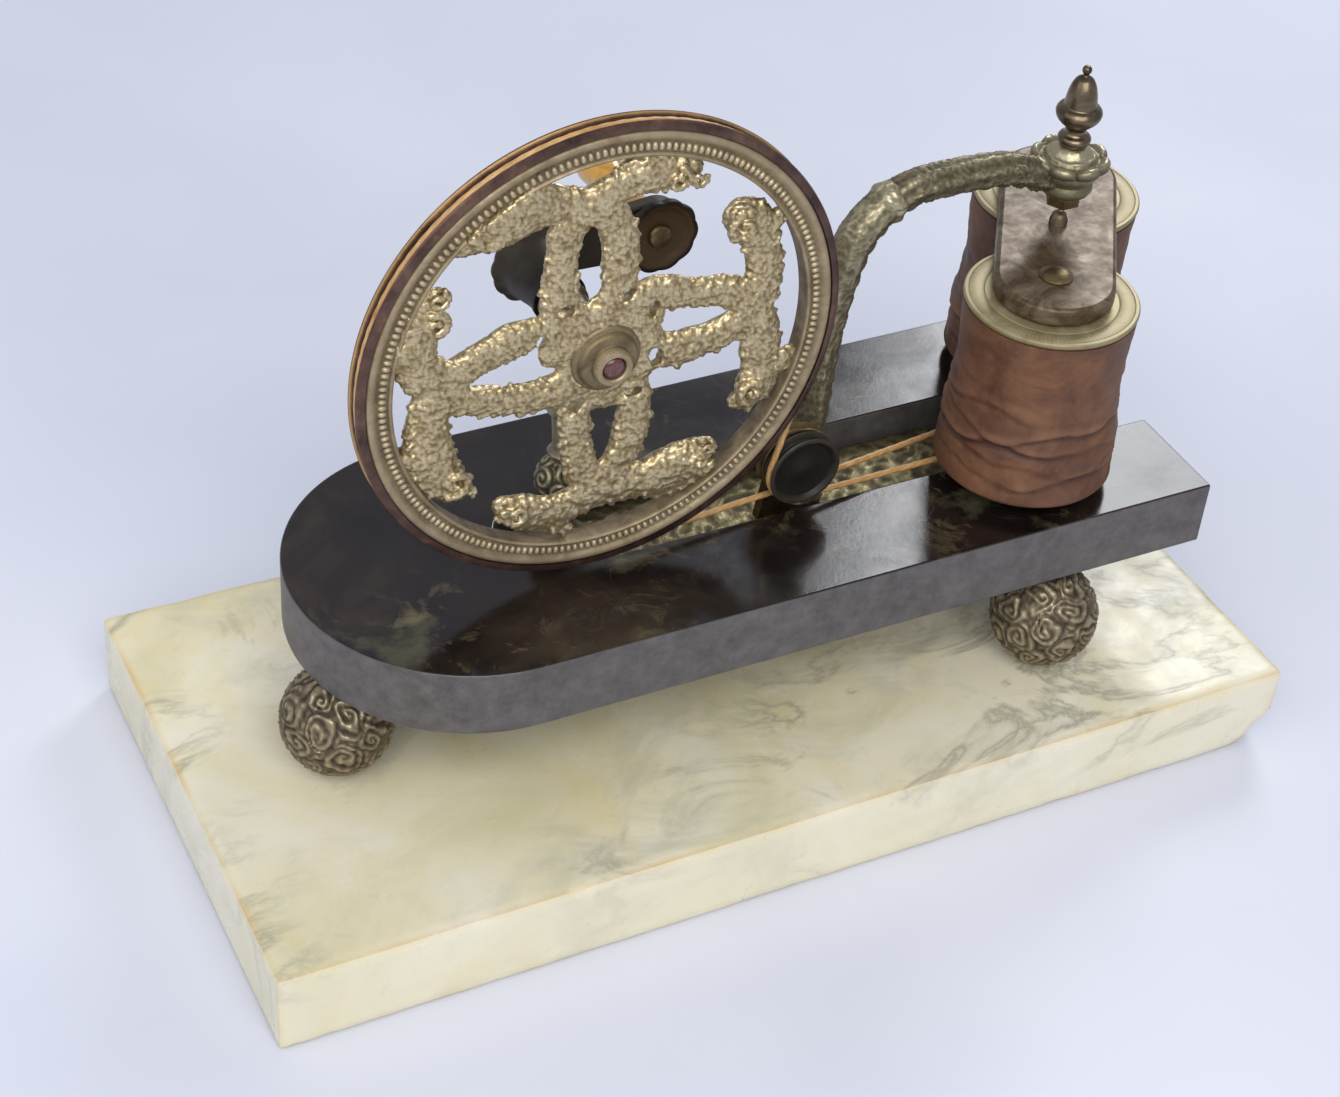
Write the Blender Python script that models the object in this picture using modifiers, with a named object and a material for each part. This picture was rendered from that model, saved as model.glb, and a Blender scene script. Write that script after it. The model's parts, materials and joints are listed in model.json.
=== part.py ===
"""Hand-cranked magneto-electric machine: a horseshoe magnet on ball feet over a marble slab.

A cranked flywheel drives, through an endless gut cord and two guide pulleys, a pair of
coils that spin about an upright spindle over the magnet's poles.
Metres, +Z up. X runs along the slab, the flywheel turns about a line along Y, and the
origin is the middle of the slab's underside.
"""

import math

import bmesh
import bpy
from mathutils import Matrix, Vector

MM = 0.001
GAP = 0.3 * MM
RUNNING = 0.09 * MM

# Marble slab
SLAB_LENGTH = 300 * MM
SLAB_WIDTH = 144 * MM
SLAB_HEIGHT = 25 * MM

# Ball feet: nose foot, then one under each leg of the magnet
BALL_RADIUS = 15.4 * MM
BALL_FLAT_ANGLE = 12
BALL_PLACES = {
    "foot_ball_nose": (-109.5 * MM, -5.4 * MM),
    "foot_ball_front": (87.6 * MM, -38.2 * MM),
    "foot_ball_rear": (87.6 * MM, 51.5 * MM),
}
STUD_RADIUS = 1.6 * MM
STUD_LENGTH = 8 * MM

# Horseshoe magnet, lying flat
MID_Y = 6.75 * MM
MAGNET_BOTTOM = SLAB_HEIGHT + 2 * BALL_RADIUS * math.cos(math.radians(BALL_FLAT_ANGLE)) + 2 * GAP
MAGNET_TOP = 75.4 * MM
MAGNET_Y = 5.9 * MM
MAGNET_HALF_WIDTH = 48.4 * MM
SLOT_HALF_WIDTH = 15.2 * MM
NOSE_CENTRE_X = -68.9 * MM
SLOT_CENTRE_X = -45 * MM
MAGNET_END_X = 133.6 * MM

# Brass bed that lies in the magnet's slot, held up by straps under the legs
BED_BOTTOM = 58.2 * MM
BED_TOP = 67.5 * MM
BED_LOW_TOP = 62 * MM
BED_HALF_WIDTH = 13.6 * MM
BED_STEP_X = 80 * MM
BED_RIGHT_X = 118 * MM
STRAP_THICKNESS = 2.6 * MM
STRAP_SIZE = (14 * MM, 74 * MM)
BED_SCREW_RADIUS = 2.0 * MM

# Flywheel
WHEEL_X = -42.6 * MM
WHEEL_Z = 143.3 * MM
WHEEL_Y = -11.3 * MM
RIM_RADIUS = 64.5 * MM
GROOVE_RADIUS = 61.8 * MM
RIM_HALF_WIDTH = 3.2 * MM
RIM_SEAT_RADIUS = 60.0 * MM
FACE_RADIUS = 61.9 * MM
FACE_INNER_RADIUS = 55.6 * MM
FACE_SEAT_DEPTH = 0.9 * MM
SPIDER_Y = WHEEL_Y - 0.4 * MM
SPOKE_TURN = math.radians(4)
SPIDER_HALF_THICKNESS = 2.0 * MM
AXLE_RADIUS = 2.5 * MM
AXLE_BORE = 2.8 * MM

# Bearing behind the flywheel, and the crank behind the bearing
BEARING_FRONT_Y = -1.0 * MM
BEARING_BACK_Y = 12.5 * MM
BEARING_RADIUS = 6.5 * MM
BOSS_BACK_Y = 31.0 * MM
BOSS_MOUTH_RADIUS = 11.0 * MM
CRANK_THICKNESS = 4.2 * MM
CRANK_REACH = 35.2 * MM
CRANK_ANGLE = math.radians(2.8)
HANDLE_PIN_RADIUS = 1.8 * MM
GRIP_LENGTH = 34.7 * MM

# Swan-neck arm and the upper pivot that it carries
SPINDLE_X = 102.3 * MM
ARM_BASE_X = 29.4 * MM
EYE_BOTTOM = 148.3 * MM
EYE_TOP = 156.4 * MM
ROSETTE_RADIUS = 10.8 * MM
EYE_RADIUS = 7.8 * MM
PIVOT_SCREW_RADIUS = 2.4 * MM
PIVOT_TIP_Z = 142.4 * MM
SCREW_TOP = 163.5 * MM
DOME_HEIGHT = 6 * MM

# Armature: two coils under a steel yoke
COIL_ANGLE = math.radians(236)
COIL_OFFSET = 26.9 * MM
FLANGE_RADIUS = 23.4 * MM
WINDING_FOOT_RADIUS = 24.6 * MM
COIL_BOTTOM = 79.4 * MM
COIL_TOP = 132.3 * MM
CORE_RADIUS = 9 * MM
TUBE_RADIUS = 11 * MM
YOKE_TOP = 138.2 * MM
YOKE_HALF_WIDTH = 16.2 * MM
SPINDLE_RADIUS = 1.4 * MM
SPINDLE_TOP = PIVOT_TIP_Z - GAP
PULLEY_GROOVE_Z = 72.2 * MM
PULLEY_GROOVE_RADIUS = 5.6 * MM

# Guide pulleys, side by side on one pin
GUIDE_X = 20.1 * MM
GUIDE_Z = 89.35 * MM
GUIDE_RADIUS = 10.4 * MM
GUIDE_GROOVE_RADIUS = 8.6 * MM
GUIDE_WIDTH = 4.5 * MM
GUIDE_FRONT_Y = -9.6 * MM
GUIDE_REAR_Y = -4.8 * MM
GUIDE_PIN_RADIUS = 1.6 * MM

# Endless gut cord
CORD_RADIUS = 0.9 * MM
CORD_ON_WHEEL = GROOVE_RADIUS + CORD_RADIUS + GAP
CORD_ON_GUIDE = GUIDE_GROOVE_RADIUS + CORD_RADIUS + GAP
CORD_ON_PULLEY = PULLEY_GROOVE_RADIUS + CORD_RADIUS + GAP

PALETTE = {
    "marble": ((0.78, 0.74, 0.60), 0.30, 0.0),
    "antique_brass": ((0.42, 0.34, 0.20), 0.45, 1.0),
    "magnet_steel": ((0.09, 0.07, 0.07), 0.20, 0.8),
    "gilt_brass": ((0.62, 0.54, 0.40), 0.40, 1.0),
    "dark_bronze": ((0.16, 0.12, 0.09), 0.35, 1.0),
    "polished_steel": ((0.62, 0.60, 0.56), 0.12, 1.0),
    "ebony": ((0.07, 0.06, 0.05), 0.35, 0.0),
    "horn": ((0.70, 0.45, 0.12), 0.30, 0.0),
    "leather": ((0.32, 0.15, 0.10), 0.60, 0.0),
    "flange_brass": ((0.55, 0.50, 0.36), 0.40, 1.0),
    "soft_iron": ((0.30, 0.30, 0.30), 0.40, 1.0),
    "red_jewel": ((0.35, 0.05, 0.06), 0.15, 0.0),
    "gut": ((0.62, 0.44, 0.22), 0.50, 0.0),
}


def clear_scene():
    for obj in list(bpy.data.objects):
        bpy.data.objects.remove(obj, do_unlink=True)


def new_collection(name):
    made = bpy.data.collections.new(name)
    bpy.context.scene.collection.children.link(made)
    return made


def new_material(name):
    colour, roughness, metallic = PALETTE[name]
    made = bpy.data.materials.new(name)
    made.use_nodes = True
    shader = made.node_tree.nodes["Principled BSDF"]
    shader.inputs["Base Color"].default_value = (*colour, 1)
    shader.inputs["Roughness"].default_value = roughness
    shader.inputs["Metallic"].default_value = metallic
    made.diffuse_color = (*colour, 1)
    return made


def empty(name, place):
    made = bpy.data.objects.new(name, None)
    made.location = place
    made.empty_display_size = 0.01
    PARTS.objects.link(made)
    return made


def finish(obj, material, parent=None):
    """Gives the piece its material and hangs it on its joint's empty, where it has one."""
    obj.data.materials.clear()
    obj.data.materials.append(MATERIALS[material])
    if parent is not None:
        bpy.context.view_layer.update()
        world = obj.matrix_world.copy()
        obj.parent = parent
        obj.matrix_parent_inverse = parent.matrix_world.inverted()
        obj.matrix_world = world
    if obj.type == "MESH":
        obj.data.shade_smooth()
        obj.data.set_sharp_from_angle(angle=math.radians(35))
    return obj


def turned(name, profile, place=(0, 0, 0), along_y=False, steps=24):
    """A turned solid. profile is (radius, height) from top to bottom, then back up a bore if it has one."""
    mesh = bpy.data.meshes.new(name)
    edges = [(i, i + 1) for i in range(len(profile) - 1)]
    if profile[0][0] > 0:
        edges.append((len(profile) - 1, 0))
    mesh.from_pydata([(radius, 0, height) for radius, height in profile], edges, [])
    obj = bpy.data.objects.new(name, mesh)
    obj.location = place
    if along_y:
        obj.rotation_euler.x = math.radians(-90)
    PARTS.objects.link(obj)
    screw = obj.modifiers.new("Turn", "SCREW")
    screw.steps = screw.render_steps = steps
    screw.use_merge_vertices = True
    screw.merge_threshold = 1e-6
    return obj


def block(name, size, centre, bevel=0.0):
    mesh = bpy.data.meshes.new(name)
    shape = bmesh.new()
    bmesh.ops.create_cube(shape, size=1, matrix=Matrix.Diagonal((*size, 1)))
    shape.to_mesh(mesh)
    shape.free()
    obj = bpy.data.objects.new(name, mesh)
    obj.location = centre
    PARTS.objects.link(obj)
    if bevel:
        rounding = obj.modifiers.new("Edges", "BEVEL")
        rounding.width = bevel
        rounding.segments = 2
    return obj


def rod(name, radius, start, end, steps=16):
    """A plain round bar between two points."""
    start, end = Vector(start), Vector(end)
    length = (end - start).length
    mesh = bpy.data.meshes.new(name)
    shape = bmesh.new()
    bmesh.ops.create_cone(
        shape, cap_ends=True, segments=steps, radius1=radius, radius2=radius, depth=length
    )
    shape.to_mesh(mesh)
    shape.free()
    obj = bpy.data.objects.new(name, mesh)
    obj.location = (start + end) / 2
    obj.rotation_mode = "QUATERNION"
    obj.rotation_quaternion = Vector((0, 0, 1)).rotation_difference(end - start)
    PARTS.objects.link(obj)
    return obj


def solid_of(curve):
    """The curve object as a welded mesh object, which takes Booleans."""
    bpy.context.view_layer.update()
    graph = bpy.context.evaluated_depsgraph_get()
    mesh = bpy.data.meshes.new_from_object(curve.evaluated_get(graph))
    shape = bmesh.new()
    shape.from_mesh(mesh)
    bmesh.ops.remove_doubles(shape, verts=shape.verts, dist=1e-6)
    bmesh.ops.recalc_face_normals(shape, faces=shape.faces)
    shape.to_mesh(mesh)
    shape.free()
    name = curve.name
    matrix = curve.matrix_world.copy()
    bpy.data.objects.remove(curve, do_unlink=True)
    obj = bpy.data.objects.new(name, mesh)
    obj.matrix_world = matrix
    PARTS.objects.link(obj)
    return obj


def plate(name, outlines, thickness, centre, upright=False):
    """A flat piece: the first outline is its edge and the others are its holes."""
    curve = bpy.data.curves.new(name, "CURVE")
    curve.dimensions = "2D"
    curve.fill_mode = "BOTH"
    curve.extrude = thickness / 2
    for outline in outlines:
        spline = curve.splines.new("POLY")
        spline.points.add(len(outline) - 1)
        for point, (x, y) in zip(spline.points, outline):
            point.co = (x, y, 0, 1)
        spline.use_cyclic_u = True
    obj = bpy.data.objects.new(name, curve)
    obj.location = centre
    if upright:
        obj.rotation_euler.x = math.radians(90)
    PARTS.objects.link(obj)
    return solid_of(obj)


def tube(name, points, radii, closed=False, resolution=2):
    """A round bar along the points, with its own radius at each point."""
    curve = bpy.data.curves.new(name, "CURVE")
    curve.dimensions = "3D"
    curve.bevel_depth = 1.0
    curve.bevel_resolution = resolution
    curve.use_fill_caps = not closed
    spline = curve.splines.new("POLY")
    spline.points.add(len(points) - 1)
    for point, place, radius in zip(spline.points, points, radii):
        point.co = (*place, 1)
        point.radius = radius
    spline.use_cyclic_u = closed
    obj = bpy.data.objects.new(name, curve)
    PARTS.objects.link(obj)
    return solid_of(obj)


def hide_tool(tool):
    PARTS.objects.unlink(tool)
    CUTTERS.objects.link(tool)
    tool.hide_render = True
    tool.display_type = "WIRE"


def boolean(obj, tool, operation):
    step = obj.modifiers.new(tool.name, "BOOLEAN")
    step.operation = operation
    step.solver = "EXACT"
    step.object = tool
    hide_tool(tool)
    return obj


def cut(obj, tool):
    return boolean(obj, tool, "DIFFERENCE")


def join(obj, tool):
    return boolean(obj, tool, "UNION")


def arc(centre_x, centre_y, radius, start, end, count):
    """Points along an arc, both ends included. Angles are in degrees."""
    found = []
    for step in range(count + 1):
        angle = math.radians(start + (end - start) * step / count)
        found.append((centre_x + radius * math.cos(angle), centre_y + radius * math.sin(angle)))
    return found


def circle(radius, count, centre_x=0.0, centre_y=0.0):
    return arc(centre_x, centre_y, radius, 0, 360, count)[:-1]


def smooth_path(points, per_span):
    """Catmull-Rom points through the given ones."""
    ends = [Vector(point) for point in (points[0], *points, points[-1])]
    found = []
    for a, b, c, d in zip(ends, ends[1:], ends[2:], ends[3:]):
        for step in range(per_span):
            t = step / per_span
            square = (2 * a - 5 * b + 4 * c - d) * t**2
            cube = (3 * b - a - 3 * c + d) * t**3
            found.append((2 * b + (c - a) * t + square + cube) / 2)
    return [*found, ends[-1]]


# ---- base ----


def make_slab():
    slab = block(
        "marble_slab", (SLAB_LENGTH, SLAB_WIDTH, SLAB_HEIGHT), (0, 0, SLAB_HEIGHT / 2), bevel=1.5 * MM
    )
    finish(slab, "marble")


def make_feet():
    """Each ball has a flat on which it rests and a stud that enters the magnet."""
    crown = BALL_RADIUS * math.cos(math.radians(BALL_FLAT_ANGLE))
    profile = [(0, crown + STUD_LENGTH), (STUD_RADIUS, crown + STUD_LENGTH), (STUD_RADIUS, crown)]
    sweep = 180 - 2 * BALL_FLAT_ANGLE
    for step in range(11):
        polar = math.radians(BALL_FLAT_ANGLE + sweep * step / 10)
        profile.append((BALL_RADIUS * math.sin(polar), BALL_RADIUS * math.cos(polar)))
    profile.append((0, -crown))
    lift = SLAB_HEIGHT + GAP + crown
    for name, (x, y) in BALL_PLACES.items():
        finish(turned(name, profile, (x, y, lift), steps=20), "antique_brass")


def make_magnet():
    """Two legs and a round nose, with a blind hole for the stud of each ball."""
    outer = arc(NOSE_CENTRE_X, MAGNET_Y, MAGNET_HALF_WIDTH, 270, 90, 24)
    inner = arc(SLOT_CENTRE_X, MAGNET_Y, SLOT_HALF_WIDTH, 90, 270, 12)
    outline = [
        (MAGNET_END_X, MAGNET_Y - MAGNET_HALF_WIDTH),
        *outer,
        (MAGNET_END_X, MAGNET_Y + MAGNET_HALF_WIDTH),
        (MAGNET_END_X, MAGNET_Y + SLOT_HALF_WIDTH),
        *inner,
        (MAGNET_END_X, MAGNET_Y - SLOT_HALF_WIDTH),
    ]
    thickness = MAGNET_TOP - MAGNET_BOTTOM
    middle = (MAGNET_TOP + MAGNET_BOTTOM) / 2
    magnet = plate("horseshoe_magnet", [outline], thickness, (0, 0, middle))
    for name, (x, y) in BALL_PLACES.items():
        hole_top = MAGNET_BOTTOM + STUD_LENGTH + GAP
        hole = rod(f"{name}_stud_hole", STUD_RADIUS + GAP, (x, y, MAGNET_BOTTOM - GAP), (x, y, hole_top))
        cut(magnet, hole)
    finish(magnet, "magnet_steel")


def make_bed():
    """The bed is high under the wheel and the arm and low under the armature's lower pivot."""
    outline = [
        (BED_STEP_X, MID_Y - BED_HALF_WIDTH),
        (BED_STEP_X, MID_Y + BED_HALF_WIDTH),
        *arc(SLOT_CENTRE_X, MID_Y, BED_HALF_WIDTH, 90, 270, 10),
    ]
    bed = plate("bed_casting", [outline], BED_TOP - BED_BOTTOM, (0, 0, (BED_TOP + BED_BOTTOM) / 2))
    low_start = BED_STEP_X - 4 * MM
    low = block(
        "bed_low_end",
        (BED_RIGHT_X - low_start, 2 * BED_HALF_WIDTH - 2 * MM, BED_LOW_TOP - BED_BOTTOM),
        ((BED_RIGHT_X + low_start) / 2, MID_Y, (BED_LOW_TOP + BED_BOTTOM) / 2),
    )
    join(bed, low)
    socket = rod(
        "pivot_cup_socket",
        4 * MM + GAP,
        (SPINDLE_X, MID_Y, BED_BOTTOM + 1.2 * MM),
        (SPINDLE_X, MID_Y, BED_TOP),
    )
    cut(bed, socket)
    for x in (WHEEL_X, ARM_BASE_X + 14 * MM):
        hole = rod(
            "bed_screw_hole",
            BED_SCREW_RADIUS + GAP,
            (x, MID_Y, BED_BOTTOM - GAP),
            (x, MID_Y, BED_BOTTOM + 5.5 * MM),
        )
        cut(bed, hole)
    finish(bed, "antique_brass")


def make_straps():
    """A strap under each pair of legs, with a screw up into the bed."""
    strap_top = MAGNET_BOTTOM - GAP
    strap_low = strap_top - STRAP_THICKNESS
    for side, x in (("left", WHEEL_X), ("right", ARM_BASE_X + 14 * MM)):
        strap = block(
            f"clamp_strap_{side}",
            (STRAP_SIZE[0], STRAP_SIZE[1], STRAP_THICKNESS),
            (x, MAGNET_Y, (strap_top + strap_low) / 2),
        )
        hole = rod(
            f"strap_hole_{side}",
            BED_SCREW_RADIUS + GAP,
            (x, MID_Y, strap_low - GAP),
            (x, MID_Y, strap_top + GAP),
        )
        cut(strap, hole)
        finish(strap, "antique_brass")
        head = strap_low - GAP
        profile = [
            (0, BED_BOTTOM + 5 * MM),
            (BED_SCREW_RADIUS, BED_BOTTOM + 5 * MM),
            (BED_SCREW_RADIUS, head),
            (4 * MM, head),
            (3.4 * MM, head - 2 * MM),
            (0, head - 2.3 * MM),
        ]
        finish(turned(f"clamp_screw_{side}", profile, (x, MID_Y, 0), steps=12), "soft_iron")


# ---- flywheel and crank ----


def make_rim():
    """A grooved hoop with a step in front for the beaded face of the spider."""
    half = RIM_HALF_WIDTH
    lip = 0.7 * MM
    floor = 1.5 * MM
    seat = -half + FACE_SEAT_DEPTH
    profile = [
        (RIM_RADIUS - 0.5 * MM, half),
        (RIM_RADIUS, half - 0.35 * MM),
        (RIM_RADIUS, half - lip),
        (GROOVE_RADIUS, floor),
        (GROOVE_RADIUS, -floor),
        (RIM_RADIUS, -half + lip),
        (RIM_RADIUS, -half + 0.35 * MM),
        (RIM_RADIUS - 0.5 * MM, -half),
        (FACE_RADIUS + GAP, -half),
        (FACE_RADIUS + GAP, seat),
        (RIM_SEAT_RADIUS, seat),
        (RIM_SEAT_RADIUS, half),
    ]
    rim = turned("wheel_rim", profile, (WHEEL_X, WHEEL_Y, WHEEL_Z), along_y=True, steps=64)
    finish(rim, "dark_bronze", WHEEL)


def spoke_side():
    """One side of a spoke and of the scroll at its end, from hub to tip, as (outward, sideways)."""
    return [
        (14.0, 11.0),
        (19.0, 9.5),
        (27.0, 7.8),
        (33.0, 6.0),
        (36.0, 7.5),
        (37.5, 13.0),
        (36.5, 20.0),
        (35.0, 26.0),
        (37.0, 30.5),
        (42.0, 31.5),
        (48.0, 29.5),
        (51.5, 24.5),
        (49.5, 21.0),
        (48.5, 13.0),
        (46.0, 5.0),
    ]


def turn(points, angle):
    cos, sin = math.cos(angle), math.sin(angle)
    return [(x * cos - y * sin, x * sin + y * cos) for x, y in points]


def make_spider():
    """Hub, four pierced spokes with scrolled ends and the beaded ring that seats in the rim."""
    outline, holes = [], [circle(AXLE_BORE, 16)]
    valley = 12.0 * MM
    for quarter in range(4):
        angle = SPOKE_TURN + math.radians(90 * quarter)
        side = [(u * MM, v * MM) for u, v in spoke_side()]
        near = [(u, -v) for u, v in side]
        far = side[::-1]
        start = [(valley * math.cos(math.radians(-45)), valley * math.sin(math.radians(-45)))]
        outline += turn(start + near + far, angle)
        lens = []
        for step in range(14):
            phase = 2 * math.pi * step / 14
            lens.append(((25 + 7.4 * math.cos(phase)) * MM, 2.7 * math.sin(phase) * MM))
        holes.append(turn(lens, angle))
        for side_angle in (-27, 27):
            pinhole = circle(1.5 * MM, 8, 16.3 * MM)
            holes.append(turn(pinhole, angle + math.radians(side_angle)))
    centre = (WHEEL_X, SPIDER_Y, WHEEL_Z)
    spider = plate("wheel_spider", [outline, *holes], 2 * SPIDER_HALF_THICKNESS, centre, upright=True)
    half = RIM_HALF_WIDTH
    seat = -half + FACE_SEAT_DEPTH - GAP
    profile = [
        (RIM_SEAT_RADIUS - GAP, half - 0.6 * MM),
        (RIM_SEAT_RADIUS - GAP, seat),
        (FACE_RADIUS, seat),
        (FACE_RADIUS, -half - 0.2 * MM),
        (FACE_INNER_RADIUS, -half - 0.2 * MM),
        (FACE_INNER_RADIUS, half - 0.6 * MM),
    ]
    ring = turned("beaded_ring", profile, (WHEEL_X, WHEEL_Y, WHEEL_Z), along_y=True, steps=64)
    join(spider, ring)
    finish(spider, "gilt_brass", WHEEL)


def make_hub():
    """The stepped cap in front of the spider and the collar behind it."""
    front = SPIDER_Y - SPIDER_HALF_THICKNESS - GAP
    cap = [
        (9 * MM, front),
        (9 * MM, front - 0.9 * MM),
        (7 * MM, front - 1.5 * MM),
        (5.6 * MM, front - 3.4 * MM),
        (3.4 * MM, front - 3.9 * MM),
        (3.4 * MM, front),
    ]
    finish(turned("hub_cap", cap, (WHEEL_X, 0, WHEEL_Z), along_y=True, steps=24), "antique_brass", WHEEL)
    jewel = [
        (0, front - 1.2 * MM),
        (3.1 * MM, front - 1.2 * MM),
        (3.1 * MM, front - 3.1 * MM),
        (1.9 * MM, front - 3.8 * MM),
        (0, front - 4.0 * MM),
    ]
    finish(turned("hub_jewel", jewel, (WHEEL_X, 0, WHEEL_Z), along_y=True, steps=16), "red_jewel", WHEEL)
    back = SPIDER_Y + SPIDER_HALF_THICKNESS + GAP
    end = BEARING_FRONT_Y - GAP
    collar = [(5 * MM, end), (5 * MM, end - 2 * MM), (7 * MM, back), (AXLE_BORE, back), (AXLE_BORE, end)]
    finish(turned("hub_collar", collar, (WHEEL_X, 0, WHEEL_Z), along_y=True, steps=20), "dark_bronze", WHEEL)


def crank_end():
    return (
        WHEEL_X + CRANK_REACH * math.cos(CRANK_ANGLE),
        WHEEL_Z + CRANK_REACH * math.sin(CRANK_ANGLE),
    )


def make_crank():
    """Axle, flared boss, tapered crank arm, the flower cup at its end and the grip's pin."""
    front = SPIDER_Y - SPIDER_HALF_THICKNESS
    arm_front = BOSS_BACK_Y + GAP
    arm_back = arm_front + CRANK_THICKNESS
    axle_end = arm_back + 1.5 * MM
    finish(
        rod("axle", AXLE_RADIUS, (WHEEL_X, front, WHEEL_Z), (WHEEL_X, axle_end, WHEEL_Z)), "soft_iron", WHEEL
    )
    start = BEARING_BACK_Y + GAP
    boss = [
        (BOSS_MOUTH_RADIUS, BOSS_BACK_Y),
        (BOSS_MOUTH_RADIUS, BOSS_BACK_Y - 1.2 * MM),
        (9.4 * MM, BOSS_BACK_Y - 3.0 * MM),
        (8.3 * MM, BOSS_BACK_Y - 7.0 * MM),
        (7.0 * MM, BOSS_BACK_Y - 12.0 * MM),
        (6.5 * MM, start),
        (AXLE_BORE, start),
        (AXLE_BORE, BOSS_BACK_Y),
    ]
    finish(turned("crank_boss", boss, (WHEEL_X, 0, WHEEL_Z), along_y=True, steps=24), "ebony", WHEEL)

    small, large = 6.0 * MM, 8.5 * MM
    reach = CRANK_REACH
    outline = [*arc(0, 0, small, 90, 270, 8), *arc(reach, 0, large, -90, 90, 10)]
    outline = turn(outline, CRANK_ANGLE)
    end_x, end_z = crank_end()
    pin_bore = turn(circle(HANDLE_PIN_RADIUS + GAP, 12, reach), CRANK_ANGLE)
    axle_bore = circle(AXLE_BORE, 12)
    middle = (WHEEL_X, (arm_front + arm_back) / 2, WHEEL_Z)
    arm = plate("crank_arm", [outline, axle_bore, pin_bore], CRANK_THICKNESS, middle, upright=True)
    finish(arm, "ebony", WHEEL)

    cup_back = arm_front - GAP
    cup = [
        (8 * MM, cup_back),
        (10.6 * MM, cup_back - 2.2 * MM),
        (10.6 * MM, cup_back - 3.2 * MM),
        (8.2 * MM, cup_back - 3.6 * MM),
        (7.2 * MM, cup_back - 2.4 * MM),
        (HANDLE_PIN_RADIUS + GAP, cup_back - 2.0 * MM),
        (HANDLE_PIN_RADIUS + GAP, cup_back),
    ]
    finish(turned("crank_cup", cup, (end_x, 0, end_z), along_y=True, steps=24), "ebony", WHEEL)

    grip_start = arm_back + GAP
    grip_end = grip_start + GRIP_LENGTH
    pin = [
        (0, grip_end + 1.0 * MM),
        (2.6 * MM, grip_end + 0.6 * MM),
        (2.6 * MM, grip_end + GAP),
        (HANDLE_PIN_RADIUS, grip_end + GAP),
        (HANDLE_PIN_RADIUS, cup_back - 2.3 * MM),
        (3.4 * MM, cup_back - 2.3 * MM),
        (2.8 * MM, cup_back - 3.6 * MM),
        (0, cup_back - 3.9 * MM),
    ]
    finish(turned("handle_pin", pin, (end_x, 0, end_z), along_y=True, steps=16), "antique_brass", WHEEL)

    bore = HANDLE_PIN_RADIUS + RUNNING
    grip = [
        (3.6 * MM, grip_end),
        (5.6 * MM, grip_end - 1.8 * MM),
        (6.2 * MM, grip_end - 5.0 * MM),
        (5.0 * MM, grip_end - 10 * MM),
        (3.8 * MM, grip_end - 19 * MM),
        (4.4 * MM, grip_start + 4 * MM),
        (6.6 * MM, grip_start + 1.2 * MM),
        (6.6 * MM, grip_start),
        (bore, grip_start),
        (bore, grip_end),
    ]
    finish(turned("handle_grip", grip, (end_x, 0, end_z), along_y=True, steps=20), "horn", GRIP)


def make_pillar():
    """A baluster on the bed, with the axle's bearing across its top."""
    base = BED_TOP + GAP
    neck = WHEEL_Z - BEARING_RADIUS - GAP
    ball = 91.4 * MM
    profile = [(0, neck), (3.6 * MM, neck), (3.2 * MM, neck - 8 * MM), (3.6 * MM, neck - 18 * MM)]
    profile += [(5.0 * MM, neck - 22 * MM), (3.6 * MM, ball + 9.5 * MM)]
    for step in range(7):
        polar = math.radians(25 + 130 * step / 6)
        profile.append((7.2 * MM * math.sin(polar), ball + 7.2 * MM * math.cos(polar)))
    profile += [
        (3.4 * MM, ball - 8 * MM),
        (5.0 * MM, ball - 12 * MM),
        (8.5 * MM, base + 4 * MM),
        (10.5 * MM, base + 2 * MM),
        (10.5 * MM, base),
        (0, base),
    ]
    finish(turned("wheel_pillar", profile, (WHEEL_X, MID_Y, 0), steps=20), "antique_brass")

    bore = AXLE_RADIUS + RUNNING
    bearing = [
        (6.5 * MM, BEARING_BACK_Y),
        (6.5 * MM, BEARING_FRONT_Y),
        (bore, BEARING_FRONT_Y),
        (bore, BEARING_BACK_Y),
    ]
    finish(turned("axle_bearing", bearing, (WHEEL_X, 0, WHEEL_Z), along_y=True, steps=24), "dark_bronze")


# ---- swan-neck arm and upper pivot ----


def arm_route():
    """Middle line of the swan neck as (x, z, radius), from the bed to the eye."""
    return [
        (29.4 * MM, 68.2 * MM, 7.8 * MM),
        (29.4 * MM, 71.0 * MM, 6.8 * MM),
        (29.8 * MM, 78.0 * MM, 5.0 * MM),
        (31.6 * MM, 96.0 * MM, 4.3 * MM),
        (32.2 * MM, 114.0 * MM, 4.4 * MM),
        (34.2 * MM, 131.0 * MM, 4.6 * MM),
        (37.6 * MM, 146.0 * MM, 5.0 * MM),
        (44.6 * MM, 155.0 * MM, 5.0 * MM),
        (54.0 * MM, 159.4 * MM, 4.9 * MM),
        (66.0 * MM, 160.0 * MM, 4.8 * MM),
        (80.0 * MM, 159.4 * MM, 4.7 * MM),
        (88.0 * MM, 157.4 * MM, 4.5 * MM),
        (94.0 * MM, 154.6 * MM, 4.2 * MM),
        (99.0 * MM, 152.6 * MM, 4.0 * MM),
    ]


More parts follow.
